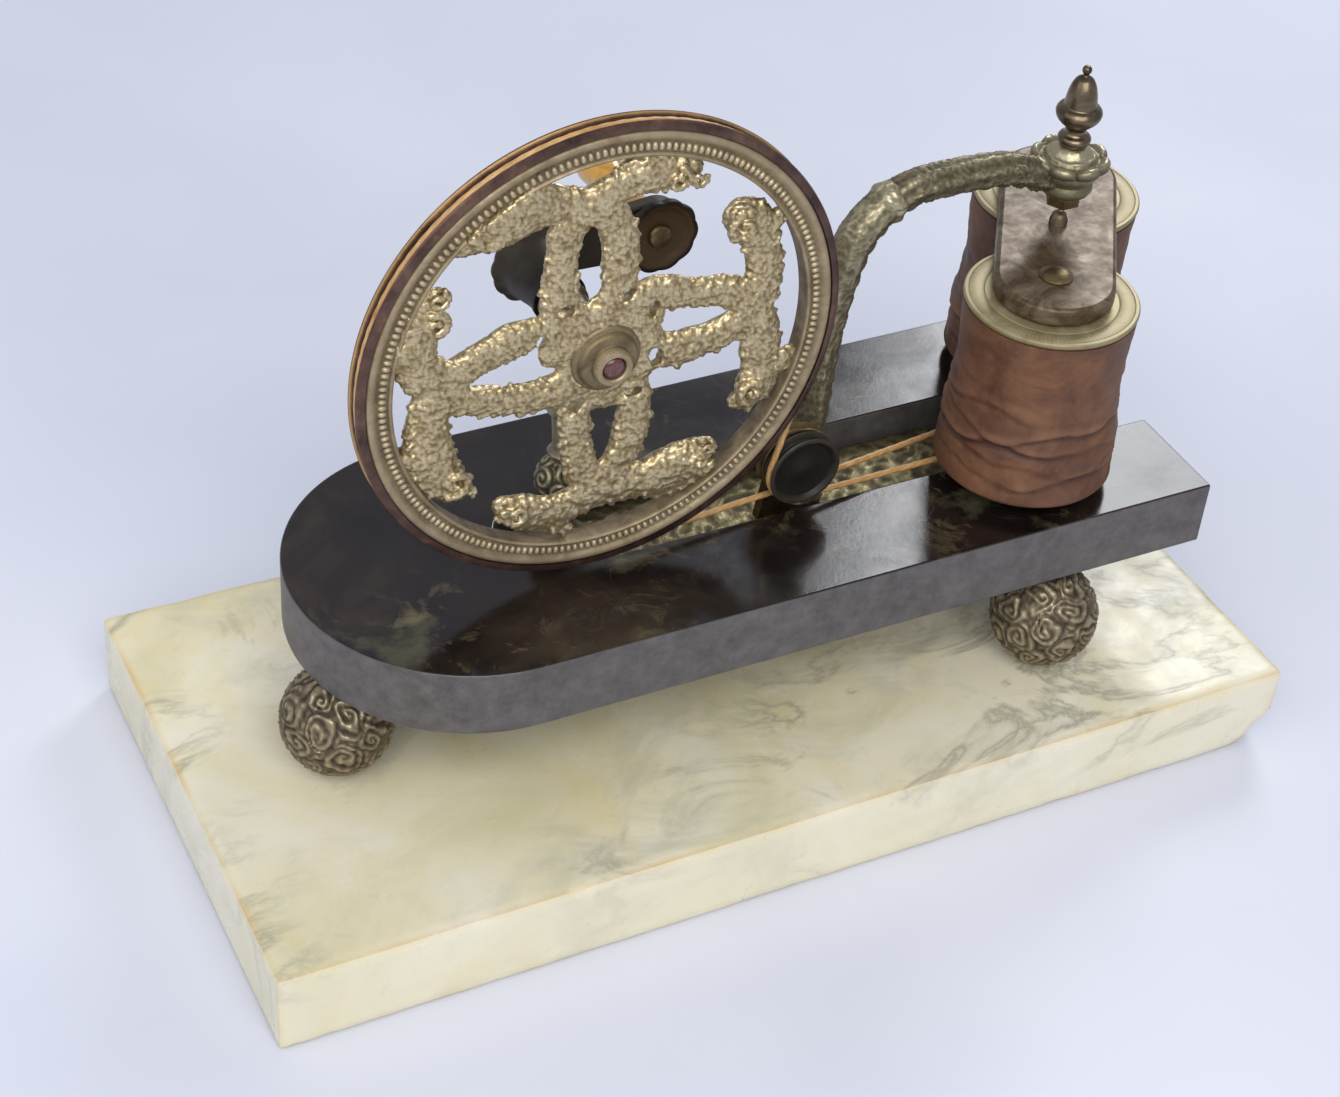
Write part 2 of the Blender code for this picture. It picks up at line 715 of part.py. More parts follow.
def make_arm():
    route = smooth_path(arm_route(), 3)
    points = [(x, MID_Y, z) for x, z, _ in route]
    radii = [radius for _, _, radius in route]
    arm = tube("swan_neck_arm", points, radii)
    join(arm, rod("arm_eye", EYE_RADIUS, (SPINDLE_X, MID_Y, EYE_BOTTOM), (SPINDLE_X, MID_Y, EYE_TOP), 24))
    bore = rod(
        "arm_eye_bore",
        PIVOT_SCREW_RADIUS + RUNNING,
        (SPINDLE_X, MID_Y, EYE_BOTTOM - 1 * MM),
        (SPINDLE_X, MID_Y, EYE_TOP + 1 * MM),
        20,
    )
    cut(arm, bore)
    seat = rod(
        "rosette_seat",
        ROSETTE_RADIUS + GAP,
        (SPINDLE_X, MID_Y, EYE_TOP),
        (SPINDLE_X, MID_Y, EYE_TOP + 10 * MM),
        32,
    )
    cut(arm, seat)
    finish(arm, "antique_brass")


def make_rosette():
    """The eight-lobed flower on the arm's eye, with a domed middle and the screw's bore."""
    base = EYE_TOP + GAP
    thickness = 2.4 * MM
    lobes, count = 8, 64
    outline = []
    for step in range(count):
        angle = 2 * math.pi * step / count
        radius = ROSETTE_RADIUS - (0.9 - 0.9 * math.cos(lobes * angle)) * MM
        outline.append((radius * math.cos(angle), radius * math.sin(angle)))
    rosette = plate("pivot_rosette", [outline], thickness, (SPINDLE_X, MID_Y, base + thickness / 2))
    dome = [
        (0, base + DOME_HEIGHT),
        (4.8 * MM, base + 5.6 * MM),
        (6.8 * MM, base + 3.8 * MM),
        (7.4 * MM, base + 1.0 * MM),
        (0, base + 1.0 * MM),
    ]
    join(rosette, turned("rosette_dome", dome, (SPINDLE_X, MID_Y, 0), steps=20))
    bore = rod(
        "rosette_bore",
        PIVOT_SCREW_RADIUS + GAP,
        (SPINDLE_X, MID_Y, base - 1 * MM),
        (SPINDLE_X, MID_Y, base + 8 * MM),
    )
    cut(rosette, bore)
    finish(rosette, "antique_brass")


def make_pivot_screw():
    """The pointed adjusting screw, the nut under the eye and the acorn that turns the screw."""
    shank = PIVOT_SCREW_RADIUS
    top = SCREW_TOP
    screw = [
        (0, top),
        (shank, top),
        (shank, PIVOT_TIP_Z + 3 * MM),
        (0.5 * MM, PIVOT_TIP_Z),
        (0, PIVOT_TIP_Z),
    ]
    finish(turned("pivot_screw", screw, (SPINDLE_X, MID_Y, 0), steps=16), "soft_iron", PIVOT)

    nut_top = EYE_BOTTOM - GAP
    outline = circle(5.0 * MM, 6)
    bore = circle(shank + GAP, 12)
    nut = plate("pivot_lock_nut", [outline, bore], 3.2 * MM, (SPINDLE_X, MID_Y, nut_top - 1.6 * MM))
    finish(nut, "antique_brass")

    base = EYE_TOP + GAP + DOME_HEIGHT + GAP
    socket = shank + GAP
    acorn = [
        (0, 185.8 * MM),
        (1.2 * MM, 185.0 * MM),
        (1.3 * MM, 183.8 * MM),
        (0.8 * MM, 183.0 * MM),
        (2.7 * MM, 181.6 * MM),
        (4.2 * MM, 177.5 * MM),
        (4.6 * MM, 174.2 * MM),
        (6.1 * MM, 172.6 * MM),
        (5.8 * MM, 170.4 * MM),
        (3.6 * MM, 168.2 * MM),
        (2.8 * MM, 166.6 * MM),
        (4.2 * MM, 165.2 * MM),
        (4.4 * MM, base),
        (socket, base),
        (socket, top + GAP),
        (0, top + GAP),
    ]
    finish(turned("acorn_finial", acorn, (SPINDLE_X, MID_Y, 0), steps=20), "dark_bronze", PIVOT)


# ---- armature ----


def coil_centre(side):
    """side is +1 for the front coil and -1 for the rear one."""
    return (
        SPINDLE_X + side * COIL_OFFSET * math.cos(COIL_ANGLE),
        MID_Y + side * COIL_OFFSET * math.sin(COIL_ANGLE),
    )


def make_coils():
    flange = 1.6 * MM
    cover_radius = FLANGE_RADIUS - 0.1 * MM
    for side, name in ((1, "front"), (-1, "rear")):
        x, y = coil_centre(side)
        core_top = COIL_TOP - GAP
        core = rod(f"coil_core_{name}", CORE_RADIUS, (x, y, COIL_BOTTOM - 0.8 * MM), (x, y, core_top), 24)
        tapped = rod(f"core_tap_{name}", 2.3 * MM, (x, y, core_top - 8 * MM), (x, y, core_top + 1 * MM), 12)
        cut(core, tapped)
        finish(core, "soft_iron", ARMATURE)
        bore = CORE_RADIUS + GAP
        bobbin = [
            (FLANGE_RADIUS - 0.5 * MM, COIL_TOP),
            (FLANGE_RADIUS, COIL_TOP - 0.4 * MM),
            (FLANGE_RADIUS, COIL_TOP - flange),
            (TUBE_RADIUS, COIL_TOP - flange),
            (TUBE_RADIUS, COIL_BOTTOM + flange),
            (20 * MM, COIL_BOTTOM + flange),
            (20 * MM, COIL_BOTTOM),
            (bore, COIL_BOTTOM),
            (bore, COIL_TOP),
        ]
        finish(turned(f"coil_bobbin_{name}", bobbin, (x, y, 0), steps=32), "flange_brass", ARMATURE)
        top = COIL_TOP - flange - GAP
        inner = TUBE_RADIUS + GAP
        wound = [
            (cover_radius - 0.4 * MM, top),
            (cover_radius, top - 2 * MM),
            (cover_radius - 0.2 * MM, top - 18 * MM),
            (WINDING_FOOT_RADIUS - 0.3 * MM, COIL_BOTTOM + 9 * MM),
            (WINDING_FOOT_RADIUS, COIL_BOTTOM + 4 * MM),
            (WINDING_FOOT_RADIUS - 0.5 * MM, COIL_BOTTOM + 0.8 * MM),
            (20 * MM + GAP, COIL_BOTTOM + 0.1 * MM),
            (20 * MM + GAP, COIL_BOTTOM + flange + GAP),
            (inner, COIL_BOTTOM + flange + GAP),
            (inner, top),
        ]
        finish(turned(f"coil_winding_{name}", wound, (x, y, 0), steps=32), "leather", ARMATURE)

        head = YOKE_TOP + GAP
        screw = [
            (0, head + 1.6 * MM),
            (3.0 * MM, head + 1.2 * MM),
            (4.6 * MM, head + 0.3 * MM),
            (4.6 * MM, head),
            (2.0 * MM, head),
            (2.0 * MM, core_top - 7 * MM),
            (0, core_top - 7 * MM),
        ]
        finish(turned(f"yoke_screw_{name}", screw, (x, y, 0), steps=16), "antique_brass", ARMATURE)


def make_yoke():
    """The bar with round ends that bridges both cores, with a step round its upper edge."""
    reach = COIL_OFFSET
    half = YOKE_HALF_WIDTH
    step = 1.4 * MM
    bottom = COIL_TOP + GAP
    bar = []
    layers = (
        ("yoke_bar", 0, bottom, YOKE_TOP - step),
        ("yoke_crown", step, bottom + step, YOKE_TOP),
    )
    for name, inset, low, high in layers:
        outline = [*arc(reach, 0, half - inset, -90, 90, 14), *arc(-reach, 0, half - inset, 90, 270, 14)]
        outline = turn(outline, COIL_ANGLE)
        bar.append(plate(name, [outline], high - low, (SPINDLE_X, MID_Y, (low + high) / 2)))
    yoke, crown = bar
    join(yoke, crown)
    holes = [(*coil_centre(1), 2.3 * MM), (*coil_centre(-1), 2.3 * MM), (SPINDLE_X, MID_Y, 2.5 * MM + GAP)]
    for x, y, radius in holes:
        hole = rod("yoke_hole", radius, (x, y, bottom - 1 * MM), (x, y, YOKE_TOP + 1 * MM))
        cut(yoke, hole)
    finish(yoke, "polished_steel", ARMATURE)


def make_spindle():
    """Lower point, pulley seat, the thin stem between the coils and the head in the yoke."""
    point = BED_BOTTOM + 3.4 * MM
    head = 2.5 * MM
    stem = SPINDLE_RADIUS
    profile = [
        (0, SPINDLE_TOP),
        (0.9 * MM, SPINDLE_TOP),
        (1.9 * MM, SPINDLE_TOP - 0.8 * MM),
        (head, YOKE_TOP + 1.2 * MM),
        (head, COIL_TOP + 1.2 * MM),
        (stem, COIL_TOP + 0.4 * MM),
        (stem, COIL_BOTTOM),
        (2.4 * MM, COIL_BOTTOM - 0.6 * MM),
        (2.4 * MM, point + 3 * MM),
        (0.4 * MM, point),
        (0, point),
    ]
    finish(turned("armature_spindle", profile, (SPINDLE_X, MID_Y, 0), steps=16), "soft_iron", ARMATURE)

    half = 2.8 * MM
    lip = PULLEY_GROOVE_RADIUS + 2.2 * MM
    mid = PULLEY_GROOVE_Z
    bore = 2.4 * MM + GAP
    pulley = [
        (lip, mid + half),
        (lip, mid + half - 0.6 * MM),
        (PULLEY_GROOVE_RADIUS, mid + 1.3 * MM),
        (PULLEY_GROOVE_RADIUS, mid - 1.3 * MM),
        (lip, mid - half + 0.6 * MM),
        (lip, mid - half),
        (bore, mid - half),
        (bore, mid + half),
    ]
    finish(turned("spindle_pulley", pulley, (SPINDLE_X, MID_Y, 0), steps=24), "gilt_brass", ARMATURE)

    collar_top = mid - half - GAP
    collar = [
        (4.2 * MM, collar_top),
        (4.2 * MM, collar_top - 5.5 * MM),
        (bore, collar_top - 5.5 * MM),
        (bore, collar_top),
    ]
    finish(turned("commutator_collar", collar, (SPINDLE_X, MID_Y, 0), steps=20), "gilt_brass", ARMATURE)

    cup_top = BED_BOTTOM + 4.6 * MM
    cup_foot = BED_BOTTOM + 1.5 * MM
    cup = [
        (0, BED_BOTTOM + 3.0 * MM),
        (2.3 * MM, cup_top),
        (3.8 * MM, cup_top),
        (3.8 * MM, cup_foot),
        (0, cup_foot),
    ]
    finish(turned("pivot_cup", cup, (SPINDLE_X, MID_Y, 0), steps=16), "soft_iron")


def make_contacts():
    """Two leaf springs that stand on the low end of the bed, one each side of the commutator."""
    foot_z = BED_LOW_TOP + GAP
    for side, name in ((-1, "front"), (1, "rear")):
        y = MID_Y + side * (4.2 * MM + GAP + 0.4 * MM)
        leaf = block(
            f"contact_spring_{name}",
            (16 * MM, 0.8 * MM, 5.6 * MM),
            (SPINDLE_X - 4 * MM, y, foot_z + 2.8 * MM),
        )
        foot = block(
            f"contact_foot_{name}",
            (5 * MM, 4.5 * MM, 2 * MM),
            (SPINDLE_X - 9.5 * MM, y + side * 1.9 * MM, foot_z + 1 * MM),
        )
        join(leaf, foot)
        finish(leaf, "gilt_brass")


# ---- guide pulleys and cord ----


def make_guides():
    """Two pulleys side by side, their fixed pin and the bracket that stands on the bed."""
    half = GUIDE_WIDTH / 2
    lip = 0.4 * MM
    bore = GUIDE_PIN_RADIUS + RUNNING
    for name, y, empty_parent, material in (
        ("front", GUIDE_FRONT_Y, GUIDE_FRONT, "ebony"),
        ("rear", GUIDE_REAR_Y, GUIDE_REAR, "gilt_brass"),
    ):
        profile = [
            (GUIDE_RADIUS, half),
            (GUIDE_RADIUS, half - lip),
            (GUIDE_GROOVE_RADIUS, 1.3 * MM),
            (GUIDE_GROOVE_RADIUS, -1.3 * MM),
            (GUIDE_RADIUS, -half + lip),
            (GUIDE_RADIUS, -half),
        ]
        if name == "front":
            # The front pulley is closed in front, slightly dished.
            profile += [(9.2 * MM, -half), (8.2 * MM, -half + 0.5 * MM), (0, -half + 0.8 * MM)]
            profile = [(0, -half + 2.0 * MM), (bore, -half + 2.0 * MM), (bore, half), *profile]
        else:
            profile += [(bore, -half), (bore, half)]
        guide = turned(f"guide_pulley_{name}", profile, (GUIDE_X, y, GUIDE_Z), along_y=True, steps=32)
        finish(guide, material, empty_parent)

    pin_front = GUIDE_FRONT_Y - half + 2.4 * MM
    bracket_front = GUIDE_REAR_Y + half + GAP
    bracket_back = bracket_front + 3.2 * MM
    pin = rod(
        "guide_pin",
        GUIDE_PIN_RADIUS,
        (GUIDE_X, pin_front, GUIDE_Z),
        (GUIDE_X, bracket_back + 0.8 * MM, GUIDE_Z),
    )
    finish(pin, "soft_iron")

    foot = BED_TOP + GAP - GUIDE_Z
    outline = [(2.6 * MM, foot), *arc(0, 0, 4.0 * MM, 0, 180, 10), (-7.5 * MM, foot)]
    bore = circle(GUIDE_PIN_RADIUS + GAP, 12)
    middle = (GUIDE_X, (bracket_front + bracket_back) / 2, GUIDE_Z)
    bracket = plate("guide_bracket", [outline, bore], bracket_back - bracket_front, middle, upright=True)
    finish(bracket, "antique_brass")


def round_wheel(centre, radius, y, start, end, count):
    """Cord points around a wheel that turns about Y, angles in degrees from +X towards +Z."""
    return [(x, y, z) for x, z in arc(centre[0], centre[1], radius, start, end, count)]


def cord_route():
    """The endless cord: round the wheel, under both guide pulleys and round the spindle pulley."""
    across, down = GUIDE_X - WHEEL_X, GUIDE_Z - WHEEL_Z
    apart, heading = math.hypot(across, down), math.degrees(math.atan2(down, across))
    outer = heading - math.degrees(math.acos((CORD_ON_WHEEL - CORD_ON_GUIDE) / apart))
    crossed = heading + math.degrees(math.acos((CORD_ON_WHEEL + CORD_ON_GUIDE) / apart))
    wheel, guide = (WHEEL_X, WHEEL_Z), (GUIDE_X, GUIDE_Z)
    route = round_wheel(wheel, CORD_ON_WHEEL, WHEEL_Y, crossed, outer + 360, 44)

    drop = GUIDE_Z - CORD_ON_GUIDE - PULLEY_GROOVE_Z
    lead = -90 - math.degrees(math.atan2(drop, SPINDLE_X - GUIDE_X))
    route += round_wheel(guide, CORD_ON_GUIDE, GUIDE_REAR_Y, outer, lead, 1)

    run = SPINDLE_X - GUIDE_X
    rear_slope = math.degrees(math.atan2(MID_Y + CORD_ON_PULLEY - GUIDE_REAR_Y, run))
    front_slope = math.degrees(math.atan2(MID_Y - CORD_ON_PULLEY - GUIDE_FRONT_Y, run))
    turn_points = arc(SPINDLE_X, MID_Y, CORD_ON_PULLEY, 90 + rear_slope, -90 + front_slope, 12)
    route += [(x, y, PULLEY_GROOVE_Z) for x, y in turn_points]
    route += round_wheel(guide, CORD_ON_GUIDE, GUIDE_FRONT_Y, 360 + lead, 180 + crossed, 10)
    return route


def make_cord():
    route = cord_route()
    cord = tube("drive_cord", route, [CORD_RADIUS] * len(route), closed=True)
    finish(cord, "gut")


clear_scene()
PARTS = new_collection("magneto_machine")
CUTTERS = new_collection("cutters")
CUTTERS.hide_render = True
MATERIALS = {name: new_material(name) for name in PALETTE}
WHEEL = empty("wheel_axis", (WHEEL_X, WHEEL_Y, WHEEL_Z))
GRIP = empty("grip_axis", (crank_end()[0], BOSS_BACK_Y + CRANK_THICKNESS, crank_end()[1]))
ARMATURE = empty("armature_axis", (SPINDLE_X, MID_Y, COIL_BOTTOM))
PIVOT = empty("pivot_screw_axis", (SPINDLE_X, MID_Y, EYE_TOP))
GUIDE_FRONT = empty("guide_front_axis", (GUIDE_X, GUIDE_FRONT_Y, GUIDE_Z))
GUIDE_REAR = empty("guide_rear_axis", (GUIDE_X, GUIDE_REAR_Y, GUIDE_Z))
GRIP.parent = WHEEL
GRIP.matrix_parent_inverse = Matrix.Translation(-WHEEL.location)
bpy.context.view_layer.update()

make_slab()
make_feet()
make_magnet()
make_bed()
make_straps()
make_rim()
make_spider()
make_hub()
make_crank()
make_pillar()
make_arm()
make_rosette()
make_pivot_screw()
make_coils()
make_yoke()
make_spindle()
make_contacts()
make_guides()
make_cord()
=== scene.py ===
"""Looks of the hand-cranked magneto-electric machine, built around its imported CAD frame.

Every length is in millimetres in the CAD's own axes, and is turned into metres when a mesh is made.
Lights, camera and floor are in metres. Colours are sRGB levels from 0 to 255.
"""

import json
import math

import bmesh
import bpy
import numpy as np
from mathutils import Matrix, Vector, noise


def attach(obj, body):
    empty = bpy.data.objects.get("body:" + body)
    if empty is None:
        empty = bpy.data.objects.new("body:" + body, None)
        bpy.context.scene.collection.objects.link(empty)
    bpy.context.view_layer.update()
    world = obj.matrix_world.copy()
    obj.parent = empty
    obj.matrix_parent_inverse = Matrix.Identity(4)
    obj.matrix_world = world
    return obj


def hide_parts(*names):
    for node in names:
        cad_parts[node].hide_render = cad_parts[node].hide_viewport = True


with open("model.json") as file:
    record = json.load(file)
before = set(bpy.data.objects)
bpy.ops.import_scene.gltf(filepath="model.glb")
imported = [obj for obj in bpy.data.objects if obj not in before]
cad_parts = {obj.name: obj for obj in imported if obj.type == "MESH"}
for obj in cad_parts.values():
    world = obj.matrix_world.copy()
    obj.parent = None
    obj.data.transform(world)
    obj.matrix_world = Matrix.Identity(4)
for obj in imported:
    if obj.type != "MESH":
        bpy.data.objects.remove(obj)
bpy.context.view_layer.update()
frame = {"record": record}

MM = 0.001
BODY_OF = {node: body for body, nodes in frame["record"]["behaviour"]["bodies"].items() for node in nodes}

# Fixed places
MID_Y = 6.75
SLAB = (150.0, 72.0, 25.0)
BALLS = {"foot_ball_nose": (-109.5, -5.4), "foot_ball_front": (87.6, -38.2), "foot_ball_rear": (87.6, 51.5)}
BALL_RADIUS = 15.4
BALL_FLAT_ANGLE = 12
MAGNET_Y = 5.9
MAGNET_BOTTOM, MAGNET_TOP = 55.73, 75.4
MAGNET_HALF_WIDTH, SLOT_HALF_WIDTH = 48.4, 15.2
NOSE_X, SLOT_X, MAGNET_END = -68.9, -45.0, 133.6
WHEEL_X, WHEEL_Y, WHEEL_Z = -42.6, -11.3, 143.3
SPINDLE_X = 102.3
SPINDLE_GROOVE_Z = 72.2
COIL_ANGLE = math.radians(236)
COIL_OFFSET = 26.9
COIL_BOTTOM, COIL_TOP, YOKE_TOP = 79.4, 132.3, 138.2
GUIDE_X, GUIDE_Z = 20.1, 89.35
GUIDE_FRONT_Y, GUIDE_REAR_Y = -9.6, -4.8
CRANK_ANGLE = math.radians(2.8)
CRANK_REACH = 35.2


# ---- materials ----


def rgba(value):
    """A linear colour from sRGB levels, or a grey from one linear level. A socket stays as it is."""
    if isinstance(value, bpy.types.NodeSocket):
        return value
    if not isinstance(value, tuple):
        return (value, value, value, 1)
    levels = [level / 255 for level in value]
    return (*[level / 12.92 if level <= 0.04045 else ((level + 0.055) / 1.055) ** 2.4 for level in levels], 1)


class Look:
    """A node material under construction, with its object coordinates ready."""

    def __init__(self, name, roughness=0.5, metallic=0.0, coat=0.0, specular=0.5):
        self.material = bpy.data.materials.new(name)
        self.material.use_nodes = True
        tree = self.material.node_tree
        self.nodes, self.links = tree.nodes, tree.links
        self.shader = self.nodes["Principled BSDF"]
        self.set("Roughness", roughness)
        self.set("Metallic", metallic)
        self.set("Coat Weight", coat)
        self.set("Coat Roughness", 0.15)
        self.set("Specular IOR Level", specular)
        self.place = self.add("ShaderNodeTexCoord").outputs["Object"]
        self.normal = None

    def feed(self, socket, value):
        """Gives a socket a constant or a link."""
        if isinstance(value, bpy.types.NodeSocket):
            self.links.new(value, socket)
        else:
            socket.default_value = value

    def set(self, name, value):
        self.feed(self.shader.inputs[name], value)

    def painted(self, colour):
        """The finished material, in the colour that a socket gives."""
        self.set("Base Color", colour)
        return self.material

    def add(self, kind, inputs=None, **settings):
        node = self.nodes.new(kind)
        for key, value in settings.items():
            setattr(node, key, value)
        for key, value in (inputs or {}).items():
            self.feed(node.inputs[key], value)
        return node

    def stretched(self, scale, turn=(0, 0, 0)):
        """Object coordinates turned, then scaled unevenly."""
        inputs = {"Vector": self.place, "Scale": scale, "Rotation": [math.radians(a) for a in turn]}
        return self.add("ShaderNodeMapping", inputs).outputs[0]

    def noise(self, size, detail=4.0, rough=0.55, bend=0.0, place=None):
        """Noise whose features are about size mm across."""
        inputs = {"Vector": place or self.place, "Scale": 1 / (size * MM)}
        inputs |= {"Detail": detail, "Roughness": rough, "Distortion": bend}
        return self.add("ShaderNodeTexNoise", inputs).outputs["Fac"]

    def cells(self, size, feature="F1"):
        inputs = {"Vector": self.place, "Scale": 1 / (size * MM)}
        return self.add("ShaderNodeTexVoronoi", inputs, feature=feature).outputs["Distance"]

    def relief(self):
        """How high a point stands in the modelled relief, from 0 to 1."""
        return self.add("ShaderNodeAttribute", attribute_name="relief").outputs["Fac"]

    def ramp(self, value, *stops):
        """Colours or grey levels at places along the value."""
        node = self.add("ShaderNodeValToRGB", {"Fac": value})
        line = node.color_ramp
        while len(line.elements) < len(stops):
            line.elements.new(0.5)
        for element, (where, colour) in zip(line.elements, stops):
            element.position = where
            element.color = rgba(colour)
        return node.outputs["Color"]

    def mask(self, value, low, high):
        """Black up to low, white from high on."""
        return self.ramp(value, (low, 0.0), (high, 1.0))

    def upright(self, low, high):
        """White on upright faces and black on level ones, turning between two slopes."""
        normal = self.add("ShaderNodeNewGeometry").outputs["Normal"]
        slope = self.add("ShaderNodeSeparateXYZ", {0: normal}).outputs["Z"]
        return self.ramp(self.calc("ABSOLUTE", slope), (low, 1.0), (high, 0.0))

    def mix(self, factor, first, second):
        inputs = {0: factor, 6: rgba(first), 7: rgba(second)}
        return self.add("ShaderNodeMix", inputs, data_type="RGBA").outputs[2]

    def tint(self, body, mask, share, colour):
        """Lays a share of the colour over the body where the mask is white."""
        return self.mix(self.times(mask, share), body, colour)

    def calc(self, operation, first, second=0.0):
        return self.add("ShaderNodeMath", {0: first, 1: second}, operation=operation).outputs[0]

    def times(self, first, second):
        return self.calc("MULTIPLY", first, second)

    def swing(self, value, share):
        """A value from 0 to 1 as a swing of share around 0."""
        return self.times(self.calc("SUBTRACT", value, 0.5), share)

    def bump(self, height, depth, strength=1.0):
        """Adds relief of about depth mm to the shading."""
        inputs = {"Height": height, "Distance": depth * MM, "Strength": strength}
        if self.normal is not None:
            inputs["Normal"] = self.normal
        self.normal = self.add("ShaderNodeBump", inputs).outputs[0]
        self.set("Normal", self.normal)


def marble_look():
    """Cream marble with clouds, warm stains, grey haze and veins, specks, yellowed edges, and painted light
    on its upright sides.
    """
    look = Look("marble_veined", coat=0.12)
    slanted = look.stretched((1.0, 1.7, 1.3), (0, 0, 38))
    clouds = look.noise(55, 5, 0.6, 0.7)
    body = look.ramp(clouds, (0.32, (207, 199, 161)), (0.5, (219, 212, 181)), (0.7, (226, 221, 203)))
    stain = look.mask(look.noise(34, 6, 0.65, 0.8), 0.54, 0.74)
    body = look.tint(body, stain, 0.4, (214, 192, 128))
    haze = look.mask(look.noise(44, 6, 0.66, 1.0, slanted), 0.52, 0.72)
    body = look.tint(body, haze, 0.6, (180, 177, 155))
    rift = look.calc("ABSOLUTE", look.calc("SUBTRACT", look.noise(60, 6, 0.6, 1.0, slanted), 0.5))
    vein = look.ramp(rift, (0.0, 1.0), (0.016, 0.5), (0.05, 0.0))
    patch = look.mask(look.noise(80, 3, 0.5), 0.44, 0.62)
    body = look.tint(body, look.times(vein, patch), 0.75, (146, 144, 124))
    specks = look.mask(look.noise(3.5, 5, 0.7), 0.62, 0.76)
    body = look.tint(body, specks, 0.3, (166, 158, 128))
    body = look.tint(body, look.relief(), 0.75, (202, 168, 100))
    # Painted light: upright faces made paler, as if lit from the front.
    body = look.tint(body, look.upright(0.3, 0.8), 0.4, (236, 231, 208))
    look.set("Roughness", look.ramp(look.noise(9, 4), (0.35, 0.26), (0.7, 0.48)))
    look.bump(look.noise(3, 6, 0.7), 0.06)
    return look.painted(body)


def magnet_look():
    """Black lacquer on top, smeared with rust and moss green, and bare grey steel on the sides."""
    look = Look("magnet_lacquered")
    patches = look.noise(30, 5, 0.6, 0.7)
    body = look.ramp(patches, (0.36, (18, 14, 13)), (0.55, (30, 23, 21)), (0.78, (54, 44, 35)))
    area = look.mask(look.noise(85, 2, 0.5), 0.4, 0.54)
    rust = look.mask(look.noise(14, 7, 0.7, 1.0), 0.56, 0.7)
    body = look.tint(body, look.times(rust, area), 0.75, (108, 96, 72))
    moss = look.mask(look.noise(22, 5, 0.6), 0.58, 0.68)
    body = look.tint(body, look.times(moss, area), 0.5, (94, 91, 66))
    side = look.upright(0.35, 0.85)
    steel = look.ramp(look.noise(5, 7, 0.7), (0.3, (80, 76, 76)), (0.7, (110, 106, 106)))
    body = look.mix(side, body, steel)
    scuffs = look.ramp(look.noise(24, 7, 0.7, 0.4), (0.42, 0.12), (0.7, 0.26))
    look.set("Roughness", look.mix(side, scuffs, 0.5))
    look.set("Metallic", look.times(side, 0.4))
    look.bump(look.noise(1.2, 5, 0.7), 0.02)
    look.bump(look.noise(30, 3, 0.55), 0.12)
    return look.painted(look.tint(body, look.relief(), 0.7, (150, 146, 150)))


def relief_metal(name, hollow, body, crest, roughness, grain, depth, metal, blotch):
    """Cast metal: dark in its hollows from patina and painted shade, bright on its crests from wear and a
    painted highlight. metal is its metallic level in both.
    """
    look = Look(name)
    shade = look.calc("ADD", look.relief(), look.swing(look.noise(6, 5, 0.65, 0.5), blotch))
    look.set("Roughness", look.ramp(shade, (0.2, roughness + 0.22), (0.9, roughness - 0.1)))
    look.set("Metallic", look.ramp(shade, (0.1, metal[0]), (0.6, metal[1])))
    look.bump(look.cells(grain), depth, 0.6)
    look.bump(look.noise(grain * 0.5, 5, 0.7), depth * 0.5)
    return look.painted(look.ramp(shade, (0.15, hollow), (0.48, body), (0.85, crest)))


def turned_metal(name, dark, light, roughness, metallic):
    """Polished or dulled turned metal with fine tool marks and tarnish."""
    look = Look(name, metallic=metallic)
    tarnish = look.noise(7, 6, 0.65, 0.6)
    look.set("Roughness", look.ramp(look.noise(3, 5, 0.7), (0.3, roughness), (0.75, roughness + 0.18)))
    look.bump(look.noise(0.6, 3, 0.6, place=look.stretched((1, 1, 5))), 0.025)
    return look.painted(look.ramp(tarnish, (0.32, dark), (0.66, light)))


def rim_look():
    """Dark lacquer with gold lines along the lips of the groove: worn gold and a painted highlight."""
    look = Look("rim_lacquer", metallic=0.7)
    wear = look.noise(9, 6, 0.7, 0.5)
    dark = look.ramp(wear, (0.35, (64, 48, 43)), (0.58, (98, 74, 64)), (0.8, (134, 107, 88)))
    # Gold along the lips: wear and a painted highlight.
    line = look.calc("ADD", look.relief(), look.swing(wear, 0.5))
    look.set("Roughness", look.ramp(wear, (0.3, 0.24), (0.7, 0.42)))
    look.bump(look.noise(0.9, 5, 0.7), 0.04)
    return look.painted(look.mix(look.mask(line, 0.5, 0.9), dark, (190, 152, 96)))


def steel_look():
    """Polished steel in smeared browns: its own tone and a painted reflection of the brass around it."""
    look = Look("yoke_polished", metallic=0.3, specular=0.15)
    # Smeared browns: tone, and a painted reflection of the flanges.
    smear_and_reflection = look.noise(12, 7, 0.7, 1.4)
    look.set("Roughness", look.ramp(look.noise(6, 5, 0.7), (0.35, 0.22), (0.7, 0.45)))
    look.bump(look.noise(0.8, 3, 0.6), 0.01)
    return look.painted(look.ramp(smear_and_reflection, (0.36, (66, 48, 31)), (0.5, (93, 79, 61)), (0.64, (118, 107, 90))))


